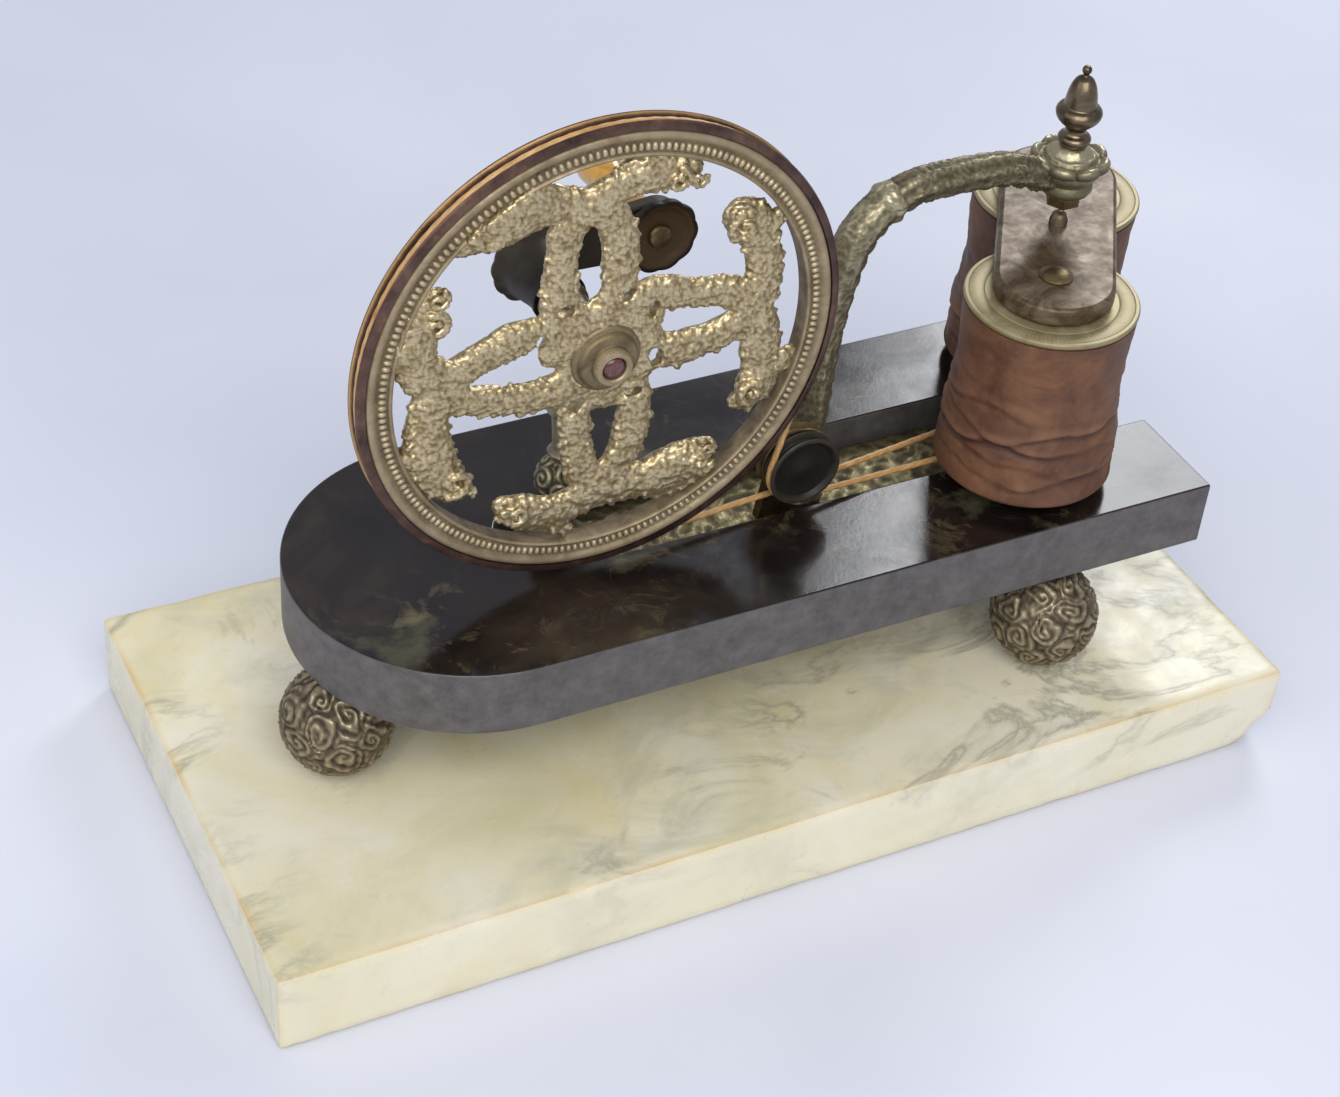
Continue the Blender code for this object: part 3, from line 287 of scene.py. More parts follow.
def leather_look(name, shift):
    """Worn brown leather, with painted shade in its folds and scuffed pale on what stands out. shift below 1
    darkens the whole copy as painted shade.
    """
    look = Look(name, specular=0.35)
    patches = look.noise(17, 6, 0.68, 0.8)
    tones = ((0.3, (74, 46, 32)), (0.5, (100, 67, 47)), (0.74, (126, 87, 60)))
    body = look.ramp(patches, *[(where, tuple(level * shift for level in tone)) for where, tone in tones])
    scuffed = look.mask(look.noise(5, 7, 0.75, 0.4, look.stretched((1, 1, 0.45))), 0.54, 0.8)
    body = look.tint(body, scuffed, 0.4, (134, 100, 74))
    # Painted shade: the low relief of the folds is darkened.
    fold = look.ramp(look.relief(), (0.12, 1.0), (0.46, 0.0))
    body = look.tint(body, fold, 0.75, (58, 34, 28))
    body = look.tint(body, look.mask(look.relief(), 0.56, 0.85), 0.35, (142, 104, 76))
    look.set("Roughness", look.ramp(patches, (0.3, 0.5), (0.75, 0.72)))
    look.bump(look.cells(0.9, feature="DISTANCE_TO_EDGE"), 0.1, 0.5)
    look.bump(look.noise(4, 6, 0.7), 0.28)
    return look.painted(body)


def flange_look():
    """Dulled pale brass, with painted shade off its top face and in its fine strokes."""
    look = Look("flange_dulled", metallic=0.4)
    tarnish = look.noise(8, 6, 0.65, 0.6)
    body = look.ramp(tarnish, (0.3, (134, 120, 86)), (0.55, (160, 148, 112)), (0.78, (182, 174, 140)))
    # Painted shade where the relief is low: the flange's sides, underside and strokes.
    painted_shade = look.ramp(look.relief(), (0.3, 1.0), (0.6, 0.0))
    look.set("Roughness", look.ramp(tarnish, (0.3, 0.34), (0.7, 0.52)))
    look.bump(look.noise(1.2, 5, 0.7), 0.03)
    return look.painted(look.tint(body, painted_shade, 0.55, (104, 90, 62)))


def dark_look(name, deep, light, roughness):
    """Waxed black wood or lacquer, rubbed on its raised parts."""
    look = Look(name, specular=0.25)
    rubbed = look.calc("ADD", look.relief(), look.times(look.noise(4, 6, 0.7), 0.7))
    look.set("Roughness", look.ramp(look.noise(5, 5, 0.7), (0.3, roughness), (0.75, roughness + 0.2)))
    look.bump(look.noise(0.8, 5, 0.65), 0.05)
    return look.painted(look.ramp(rubbed, (0.4, deep), (1.2, light)))


def horn_look():
    """Amber horn with streaks along the grip."""
    look = Look("grip_horn", 0.25, coat=0.5)
    streaks = look.noise(7, 5, 0.6, 1.0, look.stretched((1, 0.25, 1)))
    look.set("Subsurface Weight", 0.15)
    look.set("Subsurface Radius", (0.004, 0.002, 0.001))
    look.bump(look.noise(1.5, 4, 0.6), 0.02)
    body = look.ramp(streaks, (0.3, (146, 92, 28)), (0.55, (203, 152, 62)), (0.8, (226, 188, 104)))
    return look.painted(body)


def jewel_look():
    look = Look("jewel_red", coat=0.4)
    depth = look.noise(1.6, 4, 0.6, 0.8)
    look.set("Roughness", look.ramp(depth, (0.3, 0.1), (0.7, 0.22)))
    return look.painted(look.ramp(depth, (0.3, (58, 24, 27)), (0.7, (108, 64, 62))))


def gut_look():
    """Dried gut, with painted shade between its strands."""
    look = Look("cord_gut", 0.42, coat=0.2)
    tone = look.noise(5, 5, 0.65)
    body = look.ramp(tone, (0.3, (164, 120, 70)), (0.6, (198, 158, 102)), (0.8, (218, 184, 130)))
    # Painted shade in the dips between the strands.
    groove = look.ramp(look.relief(), (0.1, 1.0), (0.5, 0.0))
    look.bump(look.noise(0.35, 3, 0.6), 0.03)
    return look.painted(look.tint(body, groove, 0.6, (112, 78, 44)))


def floor_look():
    look = Look("floor_painted", 0.55, specular=0.3)
    tone = look.noise(260, 4, 0.5, 0.3)
    look.bump(look.noise(2.5, 5, 0.6), 0.02)
    return look.painted(look.ramp(tone, (0.3, (203, 207, 221)), (0.7, (216, 219, 230))))


# Name; colours in hollows (patina and painted shade), on the body and on crests (wear and painted highlight);
# roughness, grain, depth, metallic levels, blotches
CAST_METALS = {
    "brass": (
        "brass_antique", (62, 55, 41), (112, 104, 81), (168, 160, 132),
        0.42, 0.8, 0.08, (0.5, 0.75), 0.4,
    ),
    "bed": (
        "brass_bed", (32, 28, 19), (92, 84, 58), (142, 130, 94),
        0.45, 0.9, 0.12, (0.5, 0.8), 0.7,
    ),
    "ball": (
        "ball_antique", (60, 52, 40), (112, 100, 79), (162, 150, 124),
        0.45, 0.7, 0.06, (0.45, 0.7), 0.6,
    ),
    "gilt": (
        "gilt_cast", (98, 82, 55), (172, 154, 116), (220, 206, 170),
        0.37, 0.6, 0.1, (0.75, 0.9), 0.4,
    ),
    "beads": (
        "gilt_ring", (92, 78, 57), (152, 136, 108), (188, 175, 145),
        0.45, 0.7, 0.06, (0.45, 0.6), 0.8,
    ),
}
# Name, dark and light colour, roughness, metallic level
TURNED_METALS = {
    "turned_brass": ("brass_turned", (88, 74, 50), (150, 130, 92), 0.3, 1.0),
    "hub": ("brass_hub", (98, 85, 62), (148, 132, 102), 0.42, 0.8),
    "bronze": ("bronze_polished", (72, 62, 50), (134, 120, 97), 0.22, 1.0),
    "iron": ("iron_turned", (84, 82, 80), (140, 138, 134), 0.35, 1.0),
}
LOOKS = {
    "marble": marble_look(),
    "magnet": magnet_look(),
    **{key: relief_metal(*values) for key, values in CAST_METALS.items()},
    **{key: turned_metal(*values) for key, values in TURNED_METALS.items()},
    "rim": rim_look(),
    "steel": steel_look(),
    "leather_front": leather_look("leather_worn", 1.0),
    # The rear cover is the same leather darkened by 0.88: painted shade.
    "leather_rear": leather_look("leather_rear_shaded", 0.88),
    "flange": flange_look(),
    "ebony": dark_look("ebony_waxed", (16, 14, 11), (56, 48, 38), 0.42),
    "cup": dark_look("cup_waxed", (18, 15, 12), (78, 60, 40), 0.4),
    "dish": dark_look("dish_lacquered", (26, 24, 20), (58, 52, 41), 0.34),
    "horn": horn_look(),
    "jewel": jewel_look(),
    "gut": gut_look(),
}


# ---- shapes ----


def make(name, shape, look, node, relief=0.5, bevel=0.0, crease=40):
    """Turns points and faces in mm into a piece that stands for a CAD node and rides on its body.

    relief is a level from 0 to 1, or one for each point. Edges are bevelled, or sharp from crease degrees on.
    """
    points, faces = shape
    mesh = bpy.data.meshes.new(name)
    mesh.from_pydata((np.asarray(points, float) * MM).tolist(), [], faces)
    mesh.validate()
    mesh.materials.append(LOOKS[look])
    levels = np.zeros(len(mesh.vertices)) + relief
    mesh.attributes.new("relief", "FLOAT", "POINT").data.foreach_set("value", levels)
    obj = bpy.data.objects.new(name, mesh)
    bpy.context.scene.collection.objects.link(obj)
    mesh.shade_smooth()
    if bevel:
        rounding = obj.modifiers.new("Edges", "BEVEL")
        rounding.width = bevel * MM
        rounding.segments = 3
        rounding.limit_method = "ANGLE"
        rounding.angle_limit = math.radians(28)
        rounding.harden_normals = True
    else:
        mesh.set_sharp_from_angle(angle=math.radians(crease))
    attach(obj, BODY_OF[node])
    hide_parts(node)


def joined(*shapes):
    """Several shapes as one."""
    points, faces, first = [], [], 0
    for some_points, some_faces in shapes:
        points.extend(np.asarray(some_points, float).tolist())
        faces.extend([[first + i for i in face] for face in some_faces])
        first = len(points)
    return points, faces


def smooth_line(points, spans):
    """Catmull-Rom points through the given ones, as an array."""
    points = np.asarray(points, float)
    ends = np.vstack([points[:1], points, points[-1:]])
    found = []
    for a, b, c, d in zip(ends, ends[1:], ends[2:], ends[3:]):
        for step in range(spans):
            t = step / spans
            curve = 2 * b + (c - a) * t + (2 * a - 5 * b + 4 * c - d) * t**2 + (3 * b - a - 3 * c + d) * t**3
            found.append(curve / 2)
    return np.array([*found, points[-1]])


def eased(profile, spans=4):
    """A profile drawn smoothly through its points, never past the axis."""
    return [(max(radius, 0), height) for radius, height in smooth_line(profile, spans).tolist()]


def mirrored(half):
    """A profile across a groove, from the half of it above the middle."""
    return [*half, *[(radius, -height) for radius, height in half[::-1]]]


def round_bore(x, y, radius):
    """A hole's outline, with its last point left open."""
    return arc(x, y, radius, 0, 345, 23)


def spun(profile, centre, along="Z", steps=96, wave=None):
    """A turned solid. profile is (radius, height) down its outside and, if bored, back up the bore.

    wave(radius, height, angle) is added to the radius. It returns (points, faces)."""
    bored = profile[0][0] > 0
    points, rows = [], []
    for radius, height in profile:
        if radius <= 0:
            rows.append([len(points)] * steps)
            points.append((0, 0, height))
            continue
        rows.append(list(range(len(points), len(points) + steps)))
        for step in range(steps):
            angle = 2 * math.pi * step / steps
            reach = radius + (wave(radius, height, angle) if wave else 0)
            points.append((reach * math.cos(angle), reach * math.sin(angle), height))
    if bored:
        rows.append(rows[0])
    faces = []
    for upper, lower in zip(rows, rows[1:]):
        for step in range(steps):
            after = (step + 1) % steps
            face = [upper[step], lower[step], lower[after], upper[after]]
            face = [i for place, i in enumerate(face) if i != face[place - 1]]
            if len(face) > 2:
                faces.append(face)
    points = np.array(points, float)
    if along == "Y":
        points = points[:, [0, 2, 1]] * (1, 1, -1)
    return points + np.array(centre, float), faces


def taken(shape):
    """The points and faces of a bmesh, which is freed."""
    shape.verts.index_update()
    points = np.array([vert.co[:] for vert in shape.verts])
    faces = [[vert.index for vert in face.verts] for face in shape.faces]
    shape.free()
    return points, faces


def plate(outline, low, high, holes=(), upright=False):
    """A flat piece between two levels. It lies flat, or stands facing Y if upright."""
    shape = bmesh.new()
    edges = []
    for loop in (outline, *holes):
        ring = [shape.verts.new((x, y, low)) for x, y in loop]
        edges += [shape.edges.new((a, b)) for a, b in zip(ring, ring[1:] + ring[:1])]
    bmesh.ops.triangle_fill(shape, use_beauty=True, edges=edges)
    made = bmesh.ops.extrude_face_region(shape, geom=shape.faces[:])
    tops = [item for item in made["geom"] if isinstance(item, bmesh.types.BMVert)]
    bmesh.ops.translate(shape, verts=tops, vec=(0, 0, high - low))
    bmesh.ops.recalc_face_normals(shape, faces=shape.faces)
    bmesh.ops.dissolve_limit(shape, angle_limit=0.001, verts=shape.verts, edges=shape.edges)
    points, faces = taken(shape)
    if upright:
        points = points[:, [0, 2, 1]]
        faces = [face[::-1] for face in faces]
    return points, sorted(faces)


def arc(x, y, radius, start, end, count):
    angles = np.radians(np.linspace(start, end, count + 1))
    return [(x + radius * math.cos(a), y + radius * math.sin(a)) for a in angles]


def turned_by(points, angle):
    cos, sin = math.cos(angle), math.sin(angle)
    return [(x * cos - y * sin, x * sin + y * cos) for x, y in points]


def swept(route, radii, sides, wave=None, closed=False, up=(0, 1, 0)):
    """A round bar along the route. wave(step, angle) multiplies its radius; angle 0 points along up."""
    route = np.asarray(route, float)
    count = len(route)
    ahead = np.roll(route, -1, 0) - np.roll(route, 1, 0) if closed else np.gradient(route, axis=0)
    ahead /= np.linalg.norm(ahead, axis=1)[:, None]
    side = np.array(up, float)
    points = []
    for step in range(count):
        side = side - ahead[step] * side.dot(ahead[step])
        side /= np.linalg.norm(side)
        across = np.cross(ahead[step], side)
        for turn in range(sides):
            angle = 2 * math.pi * turn / sides
            radius = radii[step] * (wave(step, angle) if wave else 1)
            points.append(route[step] + radius * (math.cos(angle) * side + math.sin(angle) * across))
    faces = []
    for step in range(count if closed else count - 1):
        for turn in range(sides):
            here, there = step * sides, (step + 1) % count * sides
            after = (turn + 1) % sides
            faces.append([here + turn, here + after, there + after, there + turn])
    if not closed:
        faces.append(list(range(sides))[::-1])
        faces.append([(count - 1) * sides + turn for turn in range(sides)])
    return np.array(points), faces


class Clay:
    """A block of signed distances in mm, negative inside, that becomes a mesh."""

    def __init__(self, low, high, step):
        self.low, self.step = np.array(low, float), step
        self.axes = [np.arange(a - 2 * step, b + 3 * step, step) for a, b in zip(low, high)]
        self.field = np.full([len(axis) for axis in self.axes], 50.0)

    def grid(self, part=None):
        part = part or [slice(None)] * 3
        return np.meshgrid(*[axis[cut] for axis, cut in zip(self.axes, part)], indexing="ij")

    def blend(self, part, distance, soft):
        """Joins a shape to the clay, with a fillet of about soft mm."""
        here = self.field[tuple(part)]
        if soft:
            mixed = np.clip(0.5 + 0.5 * (here - distance) / soft, 0, 1)
            distance = here * (1 - mixed) + distance * mixed - soft * mixed * (1 - mixed)
        self.field[tuple(part)] = np.minimum(here, distance)

    def bar(self, points, radii, soft=0.8, squash=1.0):
        """A chain of round-ended bars, with a radius at each point. squash flattens it along Y."""
        for start, end, r0, r1 in zip(points, points[1:], radii, radii[1:]):
            start, end = np.array(start, float), np.array(end, float)
            reach = max(r0, r1) + 2 * soft + 1
            part = []
            for axis, a, b in zip(self.axes, start, end):
                first = np.searchsorted(axis, min(a, b) - reach)
                part.append(slice(max(first - 1, 0), np.searchsorted(axis, max(a, b) + reach) + 1))
            x, y, z = self.grid(part)
            run = end - start
            span = max(run.dot(run), 1e-9)
            t = ((x - start[0]) * run[0] + (y - start[1]) * run[1] + (z - start[2]) * run[2]) / span
            t = np.clip(t, 0, 1)
            flat = (y - start[1] - t * run[1]) / squash
            away = np.sqrt((x - start[0] - t * run[0]) ** 2 + flat**2 + (z - start[2] - t * run[2]) ** 2)
            self.blend(part, away - (r0 + (r1 - r0) * t), soft)

    def bore(self, x0, z0, half_long, half_short, lean=0.0):
        """An oval hole right through along Y."""
        x, _, z = self.grid()
        cos, sin = math.cos(math.radians(lean)), math.sin(math.radians(lean))
        u = ((x - x0) * cos + (z - z0) * sin) / half_long
        v = ((z - z0) * cos - (x - x0) * sin) / half_short
        hole = (np.sqrt(u**2 + v**2) - 1) * min(half_long, half_short)
        self.field = np.maximum(self.field, -hole)

    def shape(self):
        """The zero surface as points and quads, one point to each cell that it crosses."""
        field = self.field
        cells = tuple(n - 1 for n in field.shape)
        total, count = np.zeros((*cells, 3)), np.zeros(cells)

        def corner(offset):
            return tuple(slice(o, o + n) for o, n in zip(offset, cells))

        for axis in range(3):
            u, v = (axis + 1) % 3, (axis + 2) % 3
            for a, b in ((0, 0), (0, 1), (1, 0), (1, 1)):
                start = [0, 0, 0]
                start[u], start[v] = a, b
                end = list(start)
                end[axis] = 1
                first, second = field[corner(start)], field[corner(end)]
                crosses = (first < 0) != (second < 0)
                gap = np.where(crosses, first - second, 1.0)
                total[..., axis] += crosses * first / gap
                total[..., u] += crosses * a
                total[..., v] += crosses * b
                count += crosses
        active = count > 0
        index = np.full(cells, -1)
        index[active] = np.arange(active.sum())
        places = np.argwhere(active) + total[active] / count[active][:, None]
        points = places * self.step + np.array([axis[0] for axis in self.axes])
        faces = []
        for axis in range(3):
            u, v = np.eye(3, dtype=int)[(axis + 1) % 3], np.eye(3, dtype=int)[(axis + 2) % 3]
            first = np.take(field, range(field.shape[axis] - 1), axis)
            second = np.take(field, range(1, field.shape[axis]), axis)
            nodes = np.argwhere((first < 0) != (second < 0))
            nodes = nodes[(nodes[:, (axis + 1) % 3] > 0) & (nodes[:, (axis + 2) % 3] > 0)]
            around = [index[tuple((nodes - shift).T)] for shift in (u + v, v, 0 * u, u)]
            quads = np.stack(around, 1)
            outward = first[tuple(nodes.T)] < 0
            faces += quads[outward].tolist() + quads[~outward][:, ::-1].tolist()
        return points, faces


def normals_of(shape):
    """Unit normals of a shape at its points."""
    points, faces = np.asarray(shape[0], float), shape[1]
    found = np.zeros_like(points)
    for face in faces:
        a, b, c = points[face[0]], points[face[1]], points[face[2]]
        found[face] += np.cross(b - a, c - a)
    return found / np.maximum(np.linalg.norm(found, axis=1), 1e-12)[:, None]


def embossed(shape, height):
    """Moves each point along its normal by height(point, normal) mm. It returns the shape and the heights."""
    points, normals = np.asarray(shape[0], float), normals_of(shape)
    heights = np.array([height(p, n) for p, n in zip(points, normals)])
    return (points + normals * heights[:, None], shape[1]), heights


def level(heights, low, high):
    """Heights as relief from 0 to 1."""
    return np.clip((np.asarray(heights) - low) / (high - low), 0, 1)


def pebbles(point, size, seed=0.0):
    """Rounded grains from 0 in the gaps to 1 on the crowns."""
    near = noise.voronoi(Vector(point) / size + Vector((seed, seed, seed)))[0]
    return 1 - min(1.0, near[0] * 1.25) ** 2


def lumps(point, size, seed=0.0):
    return noise.noise(Vector(point) / size + Vector((seed, 0, seed)))


# ---- slab, feet and magnet ----


def make_slab():
    """A rubbed slab: edges rounded unevenly, small chips along them and one lost corner."""
    half = np.array(SLAB) / (1, 1, 2)
    counts = (150, 72, 14)
    points, faces = [], []
    for axis in range(3):
        u, v = (axis + 1) % 3, (axis + 2) % 3
        for sign in (-1, 1):
            first = len(points)
            for a in np.linspace(-half[u], half[u], counts[u] + 1):
                for b in np.linspace(-half[v], half[v], counts[v] + 1):
                    point = [0, 0, 0]
                    point[axis], point[u], point[v] = sign * half[axis], a, b
                    points.append(point)
            row = counts[v] + 1
            for i in range(counts[u]):
                for j in range(counts[v]):
                    near = first + i * row + j
                    face = [near, near + row, near + row + 1, near + 1]
                    faces.append(face if sign > 0 else face[::-1])
    shape = bmesh.new()
    made = [shape.verts.new(point) for point in points]
    for face in faces:
        shape.faces.new([made[i] for i in face])
    bmesh.ops.remove_doubles(shape, verts=shape.verts, dist=0.01)
    relief = []
    lost, lost_depth = Vector((0.62, -0.46, -0.64)).normalized(), 7.5
    corner = Vector((half[0], -half[1], -half[2]))
    for vert in shape.verts:
        place = vert.co.copy()
        round_by = 1.3 + 0.9 * max(0.0, lumps(place, 11)) + 1.2 * max(0.0, lumps(place, 4.5, 7) - 0.25)
        core = Vector([max(-h + round_by, min(h - round_by, c)) for c, h in zip(place, half)])
        out = place - core
        if out.length > 1e-6:
            vert.co = core + out.normalized() * round_by
        edge = sorted(h - abs(c) for c, h in zip(place, half))[1]
        over = (vert.co - corner).dot(lost) + lost_depth + 0.8 * lumps(place, 3)
        if over > 0:
            vert.co -= lost * over
            edge = 3
        relief.append(max(0.0, 1 - edge / 2.2) * (0.35 + 0.9 * max(0, lumps(place, 14, 3) + 0.15)))
        vert.co.z += half[2]
    make("slab_marble", taken(shape), "marble", "marble_slab", relief)


def scrollwork(direction, pitch, centres):
    """Ridges of curling scrolls round each centre, from 0 in the hollows to 1 on the ridges."""
    ranked = sorted(((direction.dot(centre), place) for place, centre in enumerate(centres)), reverse=True)
    (near, place), (other, _) = ranked[:2]
    centre = centres[place]
    away = math.acos(min(1.0, near))
    east = centre.orthogonal().normalized()
    north = centre.cross(east)
    angle = math.atan2(direction.dot(north), direction.dot(east))
    hand = 1 if place % 2 else -1
    ridge = 0.5 + 0.5 * math.cos(2 * math.pi * away / pitch + hand * angle)
    border = min(1.0, (math.acos(min(1.0, other)) - away) / 0.07)
    return ridge**0.7 * (0.25 + 0.75 * border)


def sphere_centres(count):
    found = []
    for step in range(count):
        height = 1 - (2 * step + 1) / count
        angle = step * math.pi * (3 - math.sqrt(5))
        ring = math.sqrt(1 - height * height)
        found.append(Vector((ring * math.cos(angle), ring * math.sin(angle), height)))
    return found


def make_feet():
    """Cast balls covered in deep scrolls, each with a flat above and below."""
    flat = math.cos(math.radians(BALL_FLAT_ANGLE))
    sweep = np.radians(np.linspace(BALL_FLAT_ANGLE, 180 - BALL_FLAT_ANGLE, 84))
    profile = [(BALL_RADIUS * math.sin(a), BALL_RADIUS * math.cos(a)) for a in sweep]
    profile = [(0, BALL_RADIUS * flat), *profile, (0, -BALL_RADIUS * flat)]
    scrolls = 34
    centres = sphere_centres(scrolls)
    for number, (name, (x, y)) in enumerate(BALLS.items()):
        middle = Vector((x, y, SLAB[2] + 0.3 + BALL_RADIUS * flat))
        turn = 1.1 + 2.3 * number

        def relief(point, _, middle=middle, turn=turn):
            direction = (Vector(point) - middle).normalized()
            (x, y), z = turned_by([direction.xy], turn)[0], direction.z
            sway = Vector((lumps(point, 6, 1), lumps(point, 6, 5), lumps(point, 6, 8)))
            bent = (Vector((x, y, z)) + 0.2 * sway).normalized()
            grain = 0.35 * lumps(point, 1.5) + 0.12 * lumps(point, 0.7)
            return 0.7 * scrollwork(bent, 0.15, centres) - 0.85 + grain

        shape, heights = embossed(spun(profile, middle, steps=168), relief)
        make(f"{name}_cast", shape, "ball", name, level(heights, -1.05, 0.1), crease=80)


def make_magnet():
    """The lacquered horseshoe, its edges rounded by 0.7 mm."""
    outline = [
        (MAGNET_END, MAGNET_Y - MAGNET_HALF_WIDTH),
        *arc(NOSE_X, MAGNET_Y, MAGNET_HALF_WIDTH, 270, 90, 96),
        (MAGNET_END, MAGNET_Y + MAGNET_HALF_WIDTH),
        (MAGNET_END, MAGNET_Y + SLOT_HALF_WIDTH),
        *arc(SLOT_X, MAGNET_Y, SLOT_HALF_WIDTH, 90, 270, 40),
        (MAGNET_END, MAGNET_Y - SLOT_HALF_WIDTH),
    ][::-1]
    shape = plate(outline, MAGNET_BOTTOM, MAGNET_TOP)
    make("magnet_lacquer", shape, "magnet", "horseshoe_magnet", 0.0, 0.7)


# ---- bed, pillar and arm ----


def foliage(place, scale=1.0, seed=0.0):
    """Overlapping leaf and bark relief in mm."""
    bent = Vector(place) + 1.5 * Vector((lumps(place, 6, 2), lumps(place, 6, 5), lumps(place, 6, 9)))
    veins = abs(lumps(bent, 3.4 * scale, seed))
    return 0.9 * (0.5 - min(1.0, 2.4 * veins)) + 0.35 * lumps(place, 1.5 * scale, seed + 4)


def make_bed():
    """The cast bed between the legs, covered in leafwork, lower under the armature."""
    clay = Clay((-60, -8, 57), (119, 22, 69), 0.9)
    x, y, z = clay.grid()
    rounding = 1.5

    def slab(left, right, half_width, low, high, round_left):
        middle = left + half_width if round_left else left
        across = np.where(x < middle, np.hypot(x - middle, y - MID_Y), np.abs(y - MID_Y)) - half_width
        if not round_left:
            across = np.maximum(np.abs(y - MID_Y) - half_width, left - x)
        across = np.maximum(across, x - right)
        tall = np.maximum(z - high, low - z)
        outside = np.hypot(np.maximum(across + rounding, 0), np.maximum(tall + rounding, 0))
        return outside + np.minimum(np.maximum(across, tall) + rounding, 0) - rounding

    clay.field = np.minimum(slab(-58.4, 80, 13.5, 58.3, 67.1, True), slab(72, 118, 12.5, 58.3, 62, False))
    clay.field = np.maximum(clay.field, 4.4 - np.hypot(x - SPINDLE_X, y - MID_Y))

    def relief(point, normal):
        return (foliage(point, 1.1) * 0.55 - 0.15) * (1 if normal[2] > -0.5 else 0.1)

    shape, heights = embossed(clay.shape(), relief)
    make("bed_leafwork", shape, "bed", "bed_casting", level(heights, -0.9, 0.35), crease=80)


def make_pillar():
    """The baluster with a scrolled ball in its middle, under the axle's bearing."""
    base, ball = 67.8, 91.4
    neck = WHEEL_Z - 6.8
    ball_radius = 7.2
    sweep = np.radians(np.linspace(24, 156, 34))
    globe = [(ball_radius * math.sin(a), ball + ball_radius * math.cos(a)) for a in sweep]
    profile = [
        (0, neck), (3.6, neck), (3.6, neck - 2), (3.0, neck - 4), (3.2, neck - 12), (3.9, neck - 18),
        (5.0, neck - 21), (5.0, neck - 22.5), (3.4, neck - 24), (3.0, ball + 11), (4.2, ball + 9.2),
        (3.2, ball + 7.9), *globe, (3.2, ball - 7.8), (4.6, ball - 9.4), (4.6, ball - 10.6),
        (3.8, ball - 12), (5.2, base + 7.5), (8.6, base + 4.4), (10.4, base + 2.6), (10.4, base), (0, base),
    ]
    scrolls = 14
    centres = sphere_centres(scrolls)
    middle = Vector((WHEEL_X, MID_Y, ball))

    def relief(point, _):
        away = Vector(point) - middle
        if abs(away.z) < 6.4 and away.length < 8:
            return 0.6 * scrollwork(away.normalized(), 0.3, centres) - 0.5
        return 0.12 * lumps(point, 1.6) - 0.05

    shape, heights = embossed(spun(profile, (WHEEL_X, MID_Y, 0), steps=72), relief)
    make("pillar_baluster", shape, "brass", "wheel_pillar", level(heights, -0.5, 0.2))
    tube = [
        (6.5, 12.3), (6.5, 9.6), (5.6, 9.2), (5.6, 2.0), (6.5, 1.6), (6.5, -0.8), (2.62, -0.8),
        (2.62, 12.3),
    ]
    shape = spun(tube, (WHEEL_X, 0, WHEEL_Z), "Y")
    make("bearing_turned", shape, "bronze", "axle_bearing", bevel=0.25)


ARM_ROUTE = (
    (29.4, 68.1, 7.6), (29.4, 71.0, 6.6), (29.8, 78.0, 4.9), (31.6, 96.0, 4.1), (32.2, 114.0, 4.3),
    (34.2, 131.0, 4.6), (37.6, 146.0, 5.0), (44.6, 155.0, 4.9), (54.0, 159.4, 4.8), (66.0, 160.0, 4.7),
    (80.0, 159.4, 4.6), (88.0, 157.4, 4.4), (94.0, 154.4, 4.0), (97.6, 152.7, 3.6),
)


def make_arm():
    """The swan neck: a leafy stem up to a collar of leaf tips, then a slimmer barked branch."""
    line = smooth_line(ARM_ROUTE, 26)
    route = np.column_stack([line[:, 0], np.full(len(line), MID_Y), line[:, 1]])
    along = np.concatenate([[0], np.cumsum(np.linalg.norm(np.diff(route, axis=0), axis=1))])
    sides, collar_x, leaf_length = 72, 49.5, 6.0
    shape = swept(route, line[:, 2], sides)
    collar = along[np.argmin(np.abs(route[:, 0] - collar_x))]
    heights = []
    for number, point in enumerate(shape[0]):
        angle = 2 * math.pi * (number % sides) / sides
        reach = along[number // sides]
        inner = max(0.0, -math.sin(angle))
        height = foliage(point, 0.45, 3) * 0.4
        leaves = abs(math.sin(math.pi * reach / leaf_length + 0.6 * math.sin(angle * 2)))
        height += 0.7 * (leaves - 0.5) * (0.2 + 1.2 * inner**4)
        if reach < collar:
            tips = 1.4 + 1.8 * abs(math.sin(2 * angle))
            height += 0.25 + 0.75 * max(0.0, 1 - abs(collar - reach - tips) / 2.2)
        ribs = math.cos(7 * angle + 0.1 * reach)
        height += 0.2 * ribs * (1 if reach > collar else 0.5)
        heights.append(height)
    heights = np.array(heights)
    heights[-sides:] *= 0.2
    shape = (shape[0] + normals_of(shape) * (heights[:, None] - 0.15), shape[1])
    eye = [
        (0, 156.2), (7.6, 156.2), (8.0, 155.4), (7.9, 154.3), (7.1, 153.4), (6.7, 152.4), (7.2, 151.5),
        (7.3, 150.3), (6.6, 149.1), (5.6, 148.5), (2.55, 148.5), (2.55, 153.0), (0, 153.0),
    ]
    eye_shape = spun(eye, (SPINDLE_X, MID_Y, 0), steps=64)
    whole = joined(shape, eye_shape)
    relief = np.concatenate([level(heights, -0.65, 0.85), np.full(len(eye_shape[0]), 0.5)])
    make("arm_swan_neck", whole, "brass", "swan_neck_arm", relief, crease=50)


